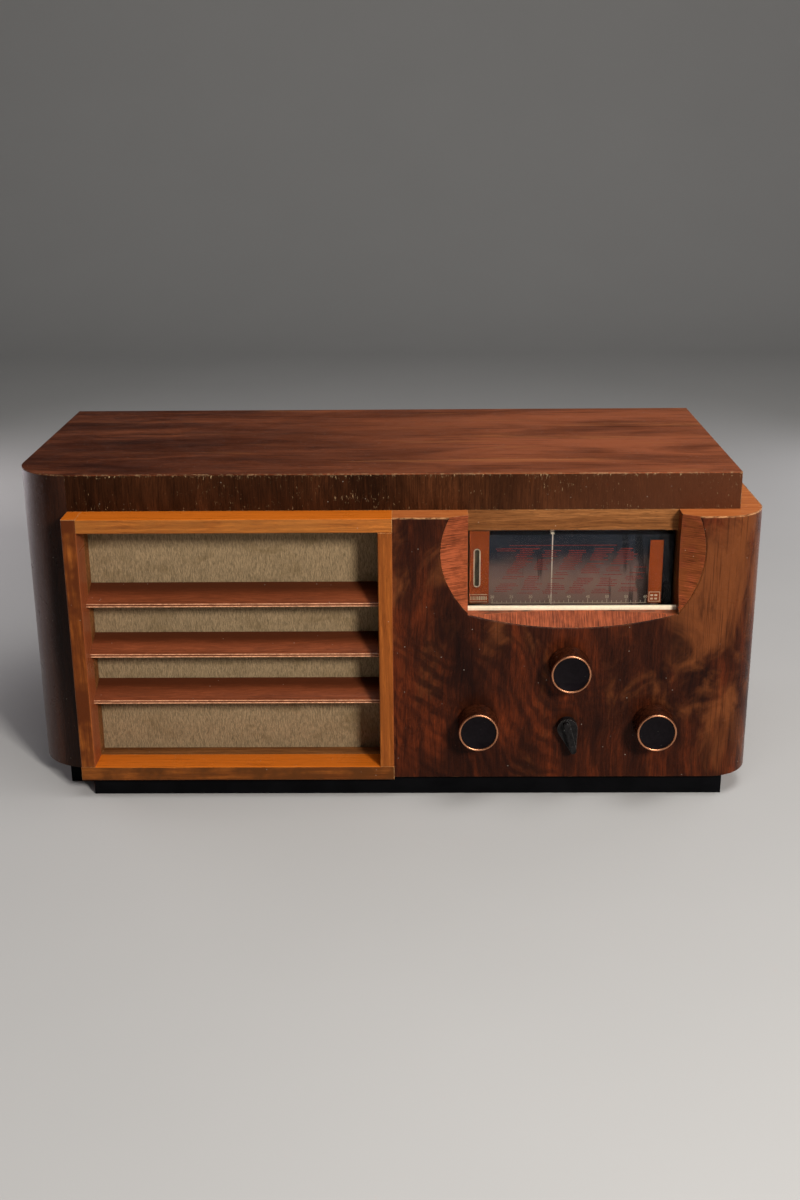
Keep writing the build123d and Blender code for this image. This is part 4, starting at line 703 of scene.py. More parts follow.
def moulded(name, colour, rough=(0.16, 0.34), mottle=0.5, coat=0.08, worn=None, wear=0.35, specks=0.2):
    """Moulded resin with a faint mottle, handling marks and softened edges."""
    material, tree, shader = blank(name, Coat_Weight=coat, Coat_Roughness=0.08, Specular_IOR_Level=0.04)
    place = object_mm(tree)
    swirl = cloudy(tree, place, 0.16, 5.0, 0.62, 2.0)
    deep = scaled(colour, 1 - mottle)
    tone = laid(tree, deep, scaled(colour, 1 + mottle), swirl, 0.3, 0.7)
    rubbed = use(tree, wear_group(), Vector=place, Radius=0.7 * MM, Amount=wear)
    tone = mixed(tree, times(tree, rubbed["Mask"], 0.5), tone, rgba(worn) if worn else scaled(colour, 2.4))
    dust = use(tree, dust_group(), Vector=stretched(tree, place, (2.2, 2.2, 2.2)), Specks=specks)
    tone = mixed(tree, times(tree, dust["Speck"], 0.4), tone, (0.45, 0.42, 0.38, 1))
    gloss = maths(
        tree, "MULTIPLY_ADD", dust["Scratch"], 0.15, spread(tree, dust["Smudge"], 0.3, 0.7, *rough)
    )
    surfaced(tree, shader, tone, gloss, swirl, 0.03, rubbed["Normal"])
    return material


def metal(name, colour, rough=(0.28, 0.46), tarnish=(0.12, 0.08, 0.05), stain=0.35):
    """Metal with fine tool lines, dulling and finger marks."""
    material, tree, shader = blank(name, Metallic=1.0)
    place = object_mm(tree)
    lines = streaky(tree, place, (5.0, 5.0, 0.18), 2.0, 0.6)
    dull = cloudy(tree, place, 0.07, 5.0, 0.65, 1.0)
    spots = spread(tree, dull, 0.48, 0.72, 0.0, stain)
    bright = laid(tree, scaled(colour, 0.82), rgba(colour), lines, 0.3, 0.7)
    gloss = maths(tree, "MULTIPLY_ADD", spots, 0.3, spread(tree, lines, 0.2, 0.8, *rough))
    rubbed = use(tree, wear_group(), Vector=place, Radius=0.4 * MM, Amount=0.3)
    tone = mixed(tree, spots, bright, rgba(tarnish))
    surfaced(tree, shader, tone, gloss, lines, 0.015, rubbed["Normal"])
    return material


def enamel(name, colour, rough=(0.38, 0.6), chips=(0.35, 0.34, 0.33), dusty=0.3):
    """Brushed or sprayed paint with orange peel, dust that settles and chipped edges."""
    material, tree, shader = blank(name, Specular_IOR_Level=0.03)
    place = object_mm(tree)
    peel = cloudy(tree, place, 1.4, 3.0, 0.5)
    cloud = cloudy(tree, place, 0.025, 5.0, 0.6, 0.6)
    tone = laid(tree, scaled(colour, 0.7), scaled(colour, 1.25), cloud, 0.3, 0.7)
    upward = facing(tree, 2)
    settled = times(
        tree, spread(tree, upward, 0.3, 1.0), spread(tree, cloud, 0.35, 0.65, 0.3 * dusty, dusty)
    )
    tone = mixed(tree, settled, tone, (0.36, 0.32, 0.27, 1))
    rubbed = use(tree, wear_group(), Vector=place, Radius=0.6 * MM, Amount=0.4)
    tone = mixed(tree, times(tree, rubbed["Mask"], 0.7), tone, rgba(chips))
    gloss = spread(tree, cloud, 0.3, 0.7, *rough)
    surfaced(tree, shader, tone, gloss, peel, 0.03, rubbed["Normal"])
    return material


def cloth_weave():
    """Crinkled tweed: upright threads broken into short fibres, with old stains."""
    look = bpy.context.scene.radio_cloth
    material, tree, shader = blank(
        "Grille tweed", Sheen_Weight=0.35, Sheen_Roughness=0.5, Specular_IOR_Level=0.2
    )
    place = object_mm(tree)
    wobble = cloudy(tree, place, 0.22, 2.0, 0.5, output=1)
    shifted = put(
        tree, "VectorMath", {0: wobble, 1: (2.4, 0.0, 1.0), 2: place}, operation="MULTIPLY_ADD"
    ).outputs[0]
    threads = stretched(tree, shifted, (1 / look.pitch, 0.2, 0.15 / look.pitch))
    crinkle = cloudy(tree, threads, 1.0, 2.0, 0.5, 0.25)
    fuzz = streaky(tree, shifted, (3.2, 1.0, 1.0), 2.0, 0.6)
    height = maths(tree, "MULTIPLY_ADD", fuzz, 0.35, crinkle)
    stain = streaky(tree, place, (0.030, 1.0, 0.055), 4.0, 0.6, 0.7)
    lit = spread(tree, height, 0.30, 1.02)
    tone = mixed(tree, lit, rgba(look.shade), rgba(look.thread))
    ochre = spread(tree, stain, 0.50, 0.74, 0.0, 0.45)
    tone = mixed(tree, ochre, tone, (0.13, 0.080, 0.026, 1))
    fleck = spread(tree, cloudy(tree, threads, 2.0, 1.0), 0.60, 0.78, 0.0, 0.30)
    tone = mixed(tree, fleck, tone, (0.46, 0.37, 0.22, 1))
    gloss = spread(tree, crinkle, 0.3, 0.7, 0.95, 0.8)
    surfaced(tree, shader, tone, gloss, height, 0.45)
    return material


def slate_paint():
    """The tray behind the glass: dark slate towards the top as painted shade, warmer brown below."""
    look = bpy.context.scene.radio_dial
    material, tree, shader = blank("Slate tray paint", Specular_IOR_Level=0.04)
    low, high = box_mm("dial_tray")
    place = object_mm(tree)
    up = axis_of(tree, place, 2)
    across = axis_of(tree, place, 0)
    broad = streaky(tree, place, (0.018, 0.018, 0.03), 4.0, 0.6, 0.4)
    level = maths(tree, "MULTIPLY_ADD", broad, 30.0, up)
    warm = rgba([a * b for a, b in zip(look.slate, (3.6, 2.4, 1.9))])
    top_painted_shade = rgba([a * b for a, b in zip(look.slate, (0.34, 0.44, 0.62))])
    # painted shade: darker towards the top
    tone = laid(tree, top_painted_shade, warm, level, high.z + 4, low.z + 34)
    streak = streaky(tree, place, (0.11, 0.11, 0.012), 3.0, 0.6)
    # painted shadow of the window's right wall: darker towards the right end
    right = spread(tree, across, high.x - 50, high.x - 26, 0.0, 0.16)
    dark = spread(tree, plus(tree, streak, right), 0.60, 0.72, 0.0, 0.7)
    tone = mixed(tree, dark, tone, (0.008, 0.008, 0.010, 1))
    # painted shadow: near black at the very right end
    tone = laid(tree, tone, (0.006, 0.006, 0.007, 1), across, high.x - 14, high.x - 9)
    haze = cloudy(tree, place, 0.3, 4.0, 0.7)
    tone = laid(tree, tone, (0.16, 0.15, 0.16, 1), haze, 0.50, 0.8, 0.25)
    gloss = spread(tree, haze, 0.3, 0.7, 0.4, 0.6)
    surfaced(tree, shader, tone, gloss, haze, 0.02)
    return material


def ink(name, colour, fade=0.45):
    """Printed colour on the glass, thin in places."""
    material, tree, shader = blank(name, Roughness=0.5, Specular_IOR_Level=0.04)
    thin = cloudy(tree, object_mm(tree), 0.5, 4.0, 0.7)
    dull = scaled(colour, 1 - fade)
    tone = laid(tree, dull, rgba(colour), thin, 0.3, 0.7)
    tree.links.new(tone, shader.inputs["Base Color"])
    raised(tree, shader, thin, 0.01)
    return material


def clear_glass(name, colour=(1, 1, 1), rough=0.02, grime=0.10, bend=1.45):
    """Old glass: slightly wavy, with a little grime."""
    material, tree, shader = blank(name, Transmission_Weight=1.0, IOR=bend)
    place = object_mm(tree)
    film = cloudy(tree, place, 0.05, 5.0, 0.65, 0.8)
    tone = laid(tree, rgba(colour), (0.55, 0.52, 0.46, 1), film, 0.45, 0.8, grime)
    gloss = spread(tree, film, 0.4, 0.8, rough, rough + 0.06)
    surfaced(tree, shader, tone, gloss, cloudy(tree, place, 0.02, 1.0), 0.03)
    return material


def fibre_board():
    """Pressed hardboard: brown, mottled, with a fine mesh mark."""
    material, tree, shader = blank("Pressed fibre board", Specular_IOR_Level=0.25)
    place = object_mm(tree)
    fluff = cloudy(tree, place, 0.5, 6.0, 0.75, 0.5)
    broad = cloudy(tree, place, 0.018, 4.0, 0.6)
    tone = shaded(
        tree, fluff, (0.3, (0.075, 0.036, 0.016)), (0.5, (0.16, 0.082, 0.038)), (0.72, (0.26, 0.15, 0.075))
    )
    tone = laid(tree, tone, (0.075, 0.042, 0.022, 1), broad, 0.42, 0.7, 0.4)
    rubbed = use(tree, wear_group(), Vector=place, Radius=0.6 * MM, Amount=0.5)
    tone = mixed(tree, times(tree, rubbed["Mask"], 0.6), tone, (0.38, 0.25, 0.14, 1))
    mesh = put(
        tree, "TexWave", {"Vector": place, "Scale": 0.35, "Distortion": 0.6}, bands_direction="X"
    ).outputs[1]
    weft = put(
        tree, "TexWave", {"Vector": place, "Scale": 0.35, "Distortion": 0.6}, bands_direction="Z"
    ).outputs[1]
    press = times(tree, mesh, weft)
    gloss = spread(tree, fluff, 0.3, 0.7, 0.62, 0.85)
    height = maths(tree, "MULTIPLY_ADD", fluff, 1.4, press)
    surfaced(tree, shader, tone, gloss, height, 0.12, rubbed["Normal"])
    return material


def soft_matter(name, colour, scale=1.2, rough=0.9, relief=0.1, bands=None):
    """Paper, braid and rubber: matt, with a close texture and optional slanting bands."""
    material, tree, shader = blank(name, Specular_IOR_Level=0.3)
    place = object_mm(tree)
    close = cloudy(tree, place, scale, 4.0, 0.7)
    tone = laid(tree, scaled(colour, 0.6), scaled(colour, 1.4), close, 0.3, 0.7)
    gloss = spread(tree, close, 0.3, 0.7, rough - 0.12, rough)
    height = close
    if bands is not None:
        wave = put(
            tree, "TexWave", {"Vector": place, "Scale": bands, "Distortion": 0.4},
            bands_direction="DIAGONAL",
        )
        height = maths(tree, "MULTIPLY_ADD", wave.outputs[1], 1.5, close)
    surfaced(tree, shader, tone, gloss, height, relief)
    return material


STEEL = ("Turned steel", (0.60, 0.59, 0.57))
MADE = {}


def finish(maker, *values, **settings):
    """Each material is made once."""
    key = (maker.__name__, str(values[:1]))
    if key not in MADE:
        MADE[key] = maker(*values, **settings)
    return MADE[key]


def dress(nodes, maker, *values, **settings):
    """Gives the CAD nodes, named in one string, a material."""
    material = finish(maker, *values, **settings)
    for node in nodes.split():
        piece = NODES[node]
        if not piece.material_slots:
            piece.data.materials.append(material)
        for holder in piece.material_slots:
            holder.material = material


# ---------------------------------------------------------------- modelling tools, in millimetres
def turn_shape(bm, profile, centre, upright=False, steps=72):
    """Spins a closed outline of (radius, distance) points about Y, or about Z if upright."""
    x, y, z = centre
    if upright:
        spots = [(x + r, y, z + d) for r, d in profile]
    else:
        spots = [(x + r, y + d, z) for r, d in profile]
    ring = [bm.verts.new(spot) for spot in spots]
    edges = [bm.edges.new((a, b)) for a, b in zip(ring, ring[1:] + ring[:1])]
    axis = (0, 0, 1) if upright else (0, 1, 0)
    bmesh.ops.spin(
        bm, geom=ring + edges, cent=centre, axis=axis, dvec=(0, 0, 0), angle=2 * pi, steps=steps,
        use_merge=True, use_normal_flip=False, use_duplicate=False,
    )


def slab(bm, low, high):
    """A block between two corners."""
    low, high = Vector(low), Vector(high)
    size = high - low
    place = Matrix.Translation((low + high) / 2) @ Matrix.Diagonal((*size, 1))
    bmesh.ops.create_cube(bm, size=1, matrix=place)


def drawn_out(bm, outline, push):
    """A flat outline pushed into a solid."""
    face = bm.faces.new([bm.verts.new(p) for p in outline])
    made = bmesh.ops.extrude_face_region(bm, geom=[face])["geom"]
    verts = [v for v in made if isinstance(v, bmesh.types.BMVert)]
    bmesh.ops.translate(bm, vec=push, verts=verts)


def settle(bm, name, material, body="cabinet", replaces=(), sharp=35, merge=0.0005):
    """Closes a shape, turns it from millimetres to metres and sets it on its body."""
    bmesh.ops.remove_doubles(bm, verts=bm.verts, dist=merge)
    bmesh.ops.dissolve_degenerate(bm, dist=1e-5, edges=bm.edges)
    bmesh.ops.recalc_face_normals(bm, faces=bm.faces)
    bmesh.ops.scale(bm, vec=(MM, MM, MM), verts=bm.verts)
    mesh = bpy.data.meshes.new(name)
    bm.to_mesh(mesh)
    bm.free()
    mesh.shade_smooth()
    mesh.set_sharp_from_angle(angle=radians(sharp))
    mesh.materials.append(material)
    piece = bpy.data.objects.new(name, mesh)
    bpy.context.scene.collection.objects.link(piece)
    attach(piece, body)
    if replaces:
        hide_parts(*replaces)
    return piece


def separate_boxes(node):
    """Lowest and highest corner, in millimetres, of each separate solid of a CAD node."""
    bm = bmesh.new()
    bm.from_mesh(NODES[node].data)
    bmesh.ops.remove_doubles(bm, verts=bm.verts, dist=1e-5)
    unseen, boxes = set(bm.verts), []
    while unseen:
        edge, found = [unseen.pop()], []
        while edge:
            vert = edge.pop()
            found.append(vert.co / MM)
            beside = [e.other_vert(vert) for e in vert.link_edges]
            fresh = [v for v in beside if v in unseen]
            unseen.difference_update(fresh)
            edge += fresh
        low = Vector([min(c[i] for c in found) for i in range(3)])
        high = Vector([max(c[i] for c in found) for i in range(3)])
        boxes.append((low, high))
    bm.free()
    return sorted(boxes, key=lambda b: (round(b[0].x), round(b[0].y)))


# ---------------------------------------------------------------- operators
class RADIO_OT_cabinet(bpy.types.Operator):
    """Veneers the cabinet: top, fascia, sides, wrapped front and the bared wood round the dial"""

    bl_idname = "radio.cabinet"
    bl_label = "Cabinet veneers"
    bl_options = {"REGISTER", "UNDO"}

    def execute(self, context):
        dress("top_veneer", top_veneer)
        dress("top_fascia", fascia_wood)
        dress("left_side right_side", side_wood)
        dress("front_panel_veneer", burr_veneer)
        dress("front_panel", panel_core)
        dress("front_board", board_wood)
        dress("top_board bottom_board back_cleats speaker_baffle", plain_wood)
        black = (0.003, 0.003, 0.0035)
        dress(
            "plinth", enamel, "Black plinth paint", black, (0.4, 0.65), chips=(0.08, 0.05, 0.03), dusty=0.05
        )
        return {"FINISHED"}


class RADIO_OT_grille(bpy.types.Operator):
    """Finishes the grille frame and makes the moulded louvre slats"""

    bl_idname = "radio.grille"
    bl_label = "Grille frame and slats"
    bl_options = {"REGISTER", "UNDO"}

    def execute(self, context):
        red = (0.10, 0.024, 0.0065)
        dress("grille_stile_left", honey_wood, "Reddish honey stile", ALONG_Z, dull=0.4, brown=red)
        dress("grille_stile_right", honey_wood, "Honey stile", ALONG_Z, brown=(0.30, 0.085, 0.016))
        dress("grille_rail_top", honey_wood, "Honey top rail", ALONG_X, dull=0.1, brown=(0.36, 0.13, 0.028))
        dress(
            "grille_rail_bottom", honey_wood, "Honey bottom rail", ALONG_X, dull=0.4,
            brown=(0.10, 0.032, 0.008),
        )
        for place in ("upper", "middle", "lower"):
            self.slat(place)
        return {"FINISHED"}

    def slat(self, place):
        node = f"louvre_slat_{place}"
        low, high = box_mm(node)
        thick = 4.0
        lip = low.z + thick
        slope = (high.z - lip) / (high.y - low.y)

        def top(y):
            return lip + slope * y

        # from the back along the top, round a double nosing, and back underneath
        outline = [
            (high.y - low.y, high.z), (3.2, top(3.2)), (2.7, top(2.7) - 0.42), (2.2, top(2.2) - 0.42),
            (1.7, top(1.7) - 0.05), (1.0, top(1.0) + 0.02), (0.35, lip - 0.25), (0.05, lip - 0.85),
            (0.1, lip - 1.5), (0.55, lip - 1.95), (0.9, lip - 2.15), (0.45, lip - 2.4), (0.35, lip - 2.9),
            (0.7, lip - 3.5), (1.6, lip - thick), (high.y - low.y, high.z - thick),
        ]
        bm = bmesh.new()
        drawn_out(bm, [(low.x, low.y + y, z) for y, z in outline], (high.x - low.x, 0, 0))
        settle(bm, f"moulded_slat_{place}", finish(slat_wood), replaces=[node], sharp=50)
        bm = bmesh.new()
        for foot in (lip - 1.25, lip - 3.35):
            bead = [
                (0.9, foot), (0.25, foot + 0.05), (0.03, foot + 0.35), (0.03, foot + 0.65),
                (0.25, foot + 0.95), (0.9, foot + 1.0),
            ]
            drawn_out(bm, [(low.x, low.y + y, z) for y, z in bead], (high.x - low.x, 0, 0))
        # the pale copper of the beads is a painted highlight along the nosing
        polish = finish(
            moulded, "Rubbed copper bead", (0.66, 0.33, 0.18), rough=(0.2, 0.34), mottle=0.4, coat=0.4
        )
        settle(bm, f"slat_beads_{place}", polish, sharp=70)


# the cloth's mesh and thickness, and the border that the frame grips, in millimetres
CLOTH_STEP = 1.7
CLOTH_THICKNESS = 0.35
CLOTH_HELD = 8


class RADIO_OT_grille_cloth(bpy.types.Operator):
    """Stretches the crinkled tweed behind the slats"""

    bl_idname = "radio.grille_cloth"
    bl_label = "Grille cloth"
    bl_options = {"REGISTER", "UNDO"}

    def execute(self, context):
        look = context.scene.radio_cloth
        low, high = box_mm("grille_cloth")
        wide, tall = high.x - low.x, high.z - low.z
        across, up = int(wide / CLOTH_STEP), int(tall / CLOTH_STEP)
        bm = bmesh.new()
        bmesh.ops.create_grid(bm, x_segments=across, y_segments=up, size=0.5)
        centre = Vector(((low.x + high.x) / 2, low.y + 0.30, (low.z + high.z) / 2))
        stand = Matrix.Translation(centre) @ Matrix.Rotation(radians(90), 4, "X")
        place = stand @ Matrix.Diagonal((wide, tall, 1, 1))
        bmesh.ops.transform(bm, matrix=place, verts=bm.verts)
        bmesh.ops.solidify(bm, geom=bm.faces[:], thickness=-CLOTH_THICKNESS)
        for vert in bm.verts:
            inset = min(vert.co.x - low.x, high.x - vert.co.x, vert.co.z - low.z, high.z - vert.co.z)
            if inset > CLOTH_HELD:
                crinkle = noise.noise(Vector((vert.co.x * 0.22, 0, vert.co.z * 0.07)))
                slack = noise.noise(Vector((vert.co.x * 0.02, 5, vert.co.z * 0.02)))
                vert.co.y += look.relief * 0.3 * crinkle + 0.12 * slack
        cloth = settle(
            bm, "stretched_tweed", finish(cloth_weave), replaces=["grille_cloth"], sharp=80
        )
        return {"FINISHED"}


class RADIO_OT_knobs(bpy.types.Operator):
    """Turns the three round knobs, each a body, a copper ring and a dished face, and their shafts"""

    bl_idname = "radio.knobs"
    bl_label = "Knobs and shafts"
    bl_options = {"REGISTER", "UNDO"}

    def execute(self, context):
        look = context.scene.radio_knobs
        body = finish(moulded, "Brown knob resin", look.body, rough=(0.14, 0.3), mottle=0.55)
        face = finish(moulded, "Knob face resin", look.face, rough=(0.22, 0.36), mottle=0.2, coat=0.04)
        ring = finish(
            metal, "Copper ring", look.ring, rough=(0.24, 0.40), tarnish=(0.20, 0.07, 0.03), stain=0.45
        )
        for name in ("tuning", "volume", "tone"):
            self.knob(name, look, body, ring, face)
        dress("tuning_spindle volume_shaft tone_shaft wave_band_shaft pointer_rail", metal, *STEEL)
        black = (0.010, 0.009, 0.009)
        dress(
            "wave_band_knob", moulded, "Black knob resin", black, worn=(0.16, 0.15, 0.14), wear=0.6,
            specks=0.5,
        )
        return {"FINISHED"}

    def knob(self, name, look, body, ring, face):
        low, high = box_mm(f"{name}_knob")
        body_name = f"{name}_control"
        centre = ((low.x + high.x) / 2, low.y, (low.z + high.z) / 2)
        deep = high.y - low.y
        outer = (high.x - low.x) / 2
        lip = outer - 0.5
        hollow = lip - look.ring_width
        bm = bmesh.new()
        turn_shape(bm, [
            (0, deep), (outer - 0.6, deep), (outer, deep - 0.6), (outer, deep - 2.0), (
                outer - 0.35, deep - 3.0
            ),
            (
                outer - 0.45, deep * 0.6
            ), (lip - 0.1, 4.2), (lip - 0.35, 3.6), (lip - 0.35, 2.7), (hollow, 2.7),
            (hollow, 5.4), (0, 5.4),
        ], centre)
        settle(bm, f"{name}_knob_body", body, body_name, [f"{name}_knob"], sharp=30)
        bm = bmesh.new()
        turn_shape(bm, [
            (hollow, 2.7), (hollow, 0.6), (hollow + 0.3, 0.15), (hollow + look.ring_width * 0.5, 0.0),
            (lip - 0.35, 0.2), (lip, 0.75), (lip, 2.2), (lip - 0.3, 2.7),
        ], centre)
        settle(bm, f"{name}_knob_ring", ring, body_name, sharp=50)
        bm = bmesh.new()
        dish = [(hollow * t, 3.6 - 2.3 * t ** 2.4) for t in (1.0, 0.94, 0.85, 0.72, 0.56, 0.38, 0.2, 0.0)]
        turn_shape(bm, [(0, 5.4), (hollow, 5.4)] + dish, centre)
        settle(bm, f"{name}_knob_dish", face, body_name, [f"{name}_knob_insert"], sharp=50)
        bm = bmesh.new()
        screw = (centre[0], centre[1] + deep - 6, centre[2] - outer + 0.5)
        turn_shape(bm, [(0, 0), (1.5, 0), (1.5, 1.2), (0, 1.2)], screw, upright=True, steps=20)
        settle(bm, f"{name}_grub_screw", finish(metal, *STEEL), body_name)


# print on the back of the glass, in millimetres
COAT_STEP = 0.09
COAT_THICKNESS = 0.06


class RADIO_OT_dial(bpy.types.Operator):
    """Prints the glass, paints the tray and pointer, and finishes the strip at the foot of the dial"""

    bl_idname = "radio.dial"
    bl_label = "Dial"
    bl_options = {"REGISTER", "UNDO"}

    def execute(self, context):
        look = context.scene.radio_dial
        dress("dial_glass", clear_glass, "Dial glass", (0.98, 0.99, 0.99), rough=0.0, grime=0.02, bend=1.12)
        dress("dial_tray", slate_paint)
        dress("dial_sill_strip", moulded, "Ivory strip", (0.90, 0.76, 0.55), mottle=0.06, rough=(0.2, 0.36))
        dress("dial_pointer", enamel, "Cream pointer paint", (0.66, 0.57, 0.44), dusty=0.1)
        dress(
            "tuning_indicator", soft_matter, "Olive celluloid", (0.11, 0.080, 0.034), scale=0.12, rough=0.45
        )
        low, high = box_mm("dial_glass")
        strip = box_mm("dial_sill_strip")[1].z
        self.back = high.y + 0.03
        self.rust = finish(ink, "Rust print", look.rust, fade=0.25)
        self.red = finish(ink, "Red print", look.red)
        self.cream = finish(ink, "Cream print", look.cream, fade=0.2)
        foot, head = strip + 0.6, high.z
        self.end_panels(low, high, foot, head)
        self.station_rows(look, low.x + 21, high.x - 22, foot + 8.5, head - 15)
        self.scale(look, low.x + 20, high.x - 22, foot)
        return {"FINISHED"}

    def layer(self, bm, x, z, coat=1):
        """One printed patch on the back of the glass: coat 0 went on first, coat 1 over it."""
        near = self.back + COAT_STEP * coat
        slab(bm, (x[0], near, z[0]), (x[1], near + COAT_THICKNESS, z[1]))

    def end_panels(self, low, high, foot, head):
        slot = box_mm("tuning_indicator")
        mid = (slot[0].x + slot[1].x) / 2
        opening_x, opening_z = (mid - 2.1, mid + 2.1), (slot[0].z + 2.5, slot[1].z - 2.5)
        left, right = low.x + 0.6, low.x + 17
        top = head - 1
        bm = bmesh.new()
        self.layer(bm, (left, opening_x[0]), (foot, top))
        self.layer(bm, (opening_x[1], right), (foot, top))
        self.layer(bm, opening_x, (foot, opening_z[0]))
        self.layer(bm, opening_x, (opening_z[1], top))
        strip_left, strip_right, strip_top = high.x - 20, high.x - 9, head - 9
        self.layer(bm, (strip_left, strip_right), (foot, strip_top))
        settle(bm, "dial_end_panels", self.rust, merge=1e-6)
        bm = bmesh.new()
        self.stadium(bm, mid, opening_z, 2.9, 1.0)
        for z in (foot + 1.0, foot + 7.4):
            self.layer(bm, (left + 0.3, right - 1.2), (z, z + 0.5), 0)
        for x in (strip_left + 0.8, strip_right - 1.3):
            self.layer(bm, (x, x + 0.45), (foot + 1.0, foot + 9.6), 0)
        for z in (foot + 1.0, foot + 9.2):
            self.layer(bm, (strip_left + 1.25, strip_right - 1.3), (z, z + 0.45), 0)
        for x in (strip_left + 2.2, strip_left + 5.6):
            for z in (foot + 2.8, foot + 5.8):
                self.layer(bm, (x, x + 2.3), (z, z + 1.5), 0)
        chooser = Random(4)
        x = left + 1
        while x < right - 2.4:
            wide = chooser.uniform(0.5, 1.1)
            self.layer(bm, (x, x + wide), (foot + 2.9, foot + 6.1), 0)
            x += wide + 0.55
        settle(bm, "dial_cream_outlines", self.cream, merge=1e-6)

    def stadium(self, bm, mid, limits, radius, width):
        """An upright ring with round ends, round the panel's slot."""
        low, high = limits[0] + radius - 0.6, limits[1] - radius + 0.6
        rings = []
        for r in (radius, radius - width):
            arcs = [(mid + r * cos(a), high + r * sin(a)) for a in [pi * k / 10 for k in range(11)]]
            arcs += [(mid + r * cos(a), low + r * sin(a)) for a in [pi + pi * k / 10 for k in range(11)]]
            verts = [bm.verts.new((x, self.back, z)) for x, z in arcs]
            rings += [bm.edges.new((a, b)) for a, b in zip(verts, verts[1:] + verts[:1])]
        faces = bmesh.ops.bridge_loops(bm, edges=rings)["faces"]
        made = bmesh.ops.extrude_face_region(bm, geom=faces)["geom"]
        verts = [v for v in made if isinstance(v, bmesh.types.BMVert)]
        bmesh.ops.translate(bm, vec=(0, COAT_THICKNESS, 0), verts=verts)

    def station_rows(self, look, left, right, foot, head):
        """Rows of short marks in slanting columns, where station names would stand."""
        chooser = Random(11)
        bm = bmesh.new()
        pitch = (head - foot) / look.rows
        column = (right - left) / 6.2
        for row in range(look.rows):
            z = foot + row * pitch
            for k in range(-1, 7):
                start = left + k * column + row * 0.95 + chooser.uniform(-1.2, 1.2)
                stop = start + chooser.uniform(0.40, 0.80) * column
                if chooser.random() < 0.16 or start < left or stop > right:
                    continue
                x = start
                while x < stop:
                    wide = chooser.uniform(0.5, 1.15)
                    self.layer(bm, (x, x + wide), (z, z + pitch * chooser.uniform(0.34, 0.46)))
                    x += wide + 0.28
        for z, start, stop in ((head + 1.5, 0.1, 0.8), (head - 1.2, 0.05, 0.3)):
            self.layer(bm, (left + start * (right - left), left + stop * (right - left)), (z, z + 0.4))
        settle(bm, "dial_station_rows", self.red, merge=1e-6)

    def scale(self, look, left, right, foot):
        bm = bmesh.new()
        step = (right - left) / (look.ticks - 1)
        for k in range(look.ticks):
            x = left + k * step
            tall = 3.4 if k % 4 == 0 else 1.7
            self.layer(bm, (x - 0.2, x + 0.2), (foot + 0.4, foot + 0.4 + tall), 0)
        self.layer(bm, (left - 1, right + 1), (foot, foot + 0.35), 0)
        settle(bm, "dial_ticks", self.cream, merge=1e-6)
        for k in range(0, look.ticks, 4):
            self.number(str(20 + 5 * (k // 4)), left + k * step, foot + 4.4)

    def number(self, words, x, z):
        curve = bpy.data.curves.new("dial_number", "FONT")
        curve.body = words
        curve.size = 3.4 * MM
        curve.align_x = "CENTER"
        curve.extrude = 0.04 * MM
        curve.resolution_u = 3
        lettering = bpy.data.objects.new("dial_number", curve)
        bpy.context.scene.collection.objects.link(lettering)
        bpy.context.view_layer.update()
        mesh = bpy.data.meshes.new_from_object(lettering)
        bpy.data.objects.remove(lettering)
        place = Vector((x, self.back + 0.04, z)) * MM
        mesh.transform(Matrix.Translation(place) @ Matrix.Rotation(radians(90), 4, "X"))
        mesh.materials.clear()
        mesh.materials.append(self.cream)
        piece = bpy.data.objects.new(f"dial_number_{words}", mesh)
        bpy.context.scene.collection.objects.link(piece)
        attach(piece, "cabinet")


SOCKET_PITCH = 16  # millimetres between the sockets at the back


class RADIO_OT_drive(bpy.types.Operator):
    """Finishes the dial drive: frame, pulleys, drum, cord, lamps and tuning gang"""

    bl_idname = "radio.drive"
    bl_label = "Dial drive and gang"
    bl_options = {"REGISTER", "UNDO"}

    def execute(self, context):
        brass = ("Dull brass", (0.58, 0.40, 0.16), (0.28, 0.46), (0.14, 0.09, 0.03))
        alloy = (0.70, 0.70, 0.71)
        dress("dial_frame chassis", enamel, "Cadmium grey plate", (0.33, 0.34, 0.33), rough=(0.35, 0.5))
        dress("dial_pulley_left dial_pulley_right gang_rotor", metal, *brass)
        dress(
            "drive_drum back_cover_screws", metal, "Zinc plate", (0.55, 0.55, 0.53),
            tarnish=(0.24, 0.23, 0.20),
        )
        dress(
            "gang_frame screening_cans", metal, "Dull aluminium", alloy, tarnish=(0.32, 0.32, 0.31),
            stain=0.5,
        )
        dress("drive_cord", soft_matter, "Waxed braid", (0.34, 0.28, 0.17), scale=3.0, bands=2.2)
        dress("dial_lamps", clear_glass, "Lamp glass", (0.95, 0.90, 0.78), grime=0.2)
        tan, laminated = (0.19, 0.085, 0.035), "wave_band_switch potentiometers socket_strip"
        dress(laminated, soft_matter, "Resin bonded paper", tan, scale=0.8, rough=0.55, relief=0.05)
        dress("mains_inlet_grommet", soft_matter, "Black rubber", (0.022, 0.021, 0.020), rough=0.75)
        self.socket_bushes(finish(metal, *brass))
        return {"FINISHED"}

    def socket_bushes(self, brass):
        low, high = box_mm("socket_strip")
        middle_z = (low.z + high.z) / 2
        for k in range(4):
            x = (low.x + high.x) / 2 + SOCKET_PITCH * (k - 1.5)
            bm = bmesh.new()
            rim = [(2.1, 0), (3.5, 0), (3.5, 0.4), (3.0, 0.9), (2.4, 0.9), (2.1, 0.6)]
            turn_shape(bm, rim, (x, high.y, middle_z), steps=32)
            settle(bm, f"socket_bush_{k + 1}", brass)


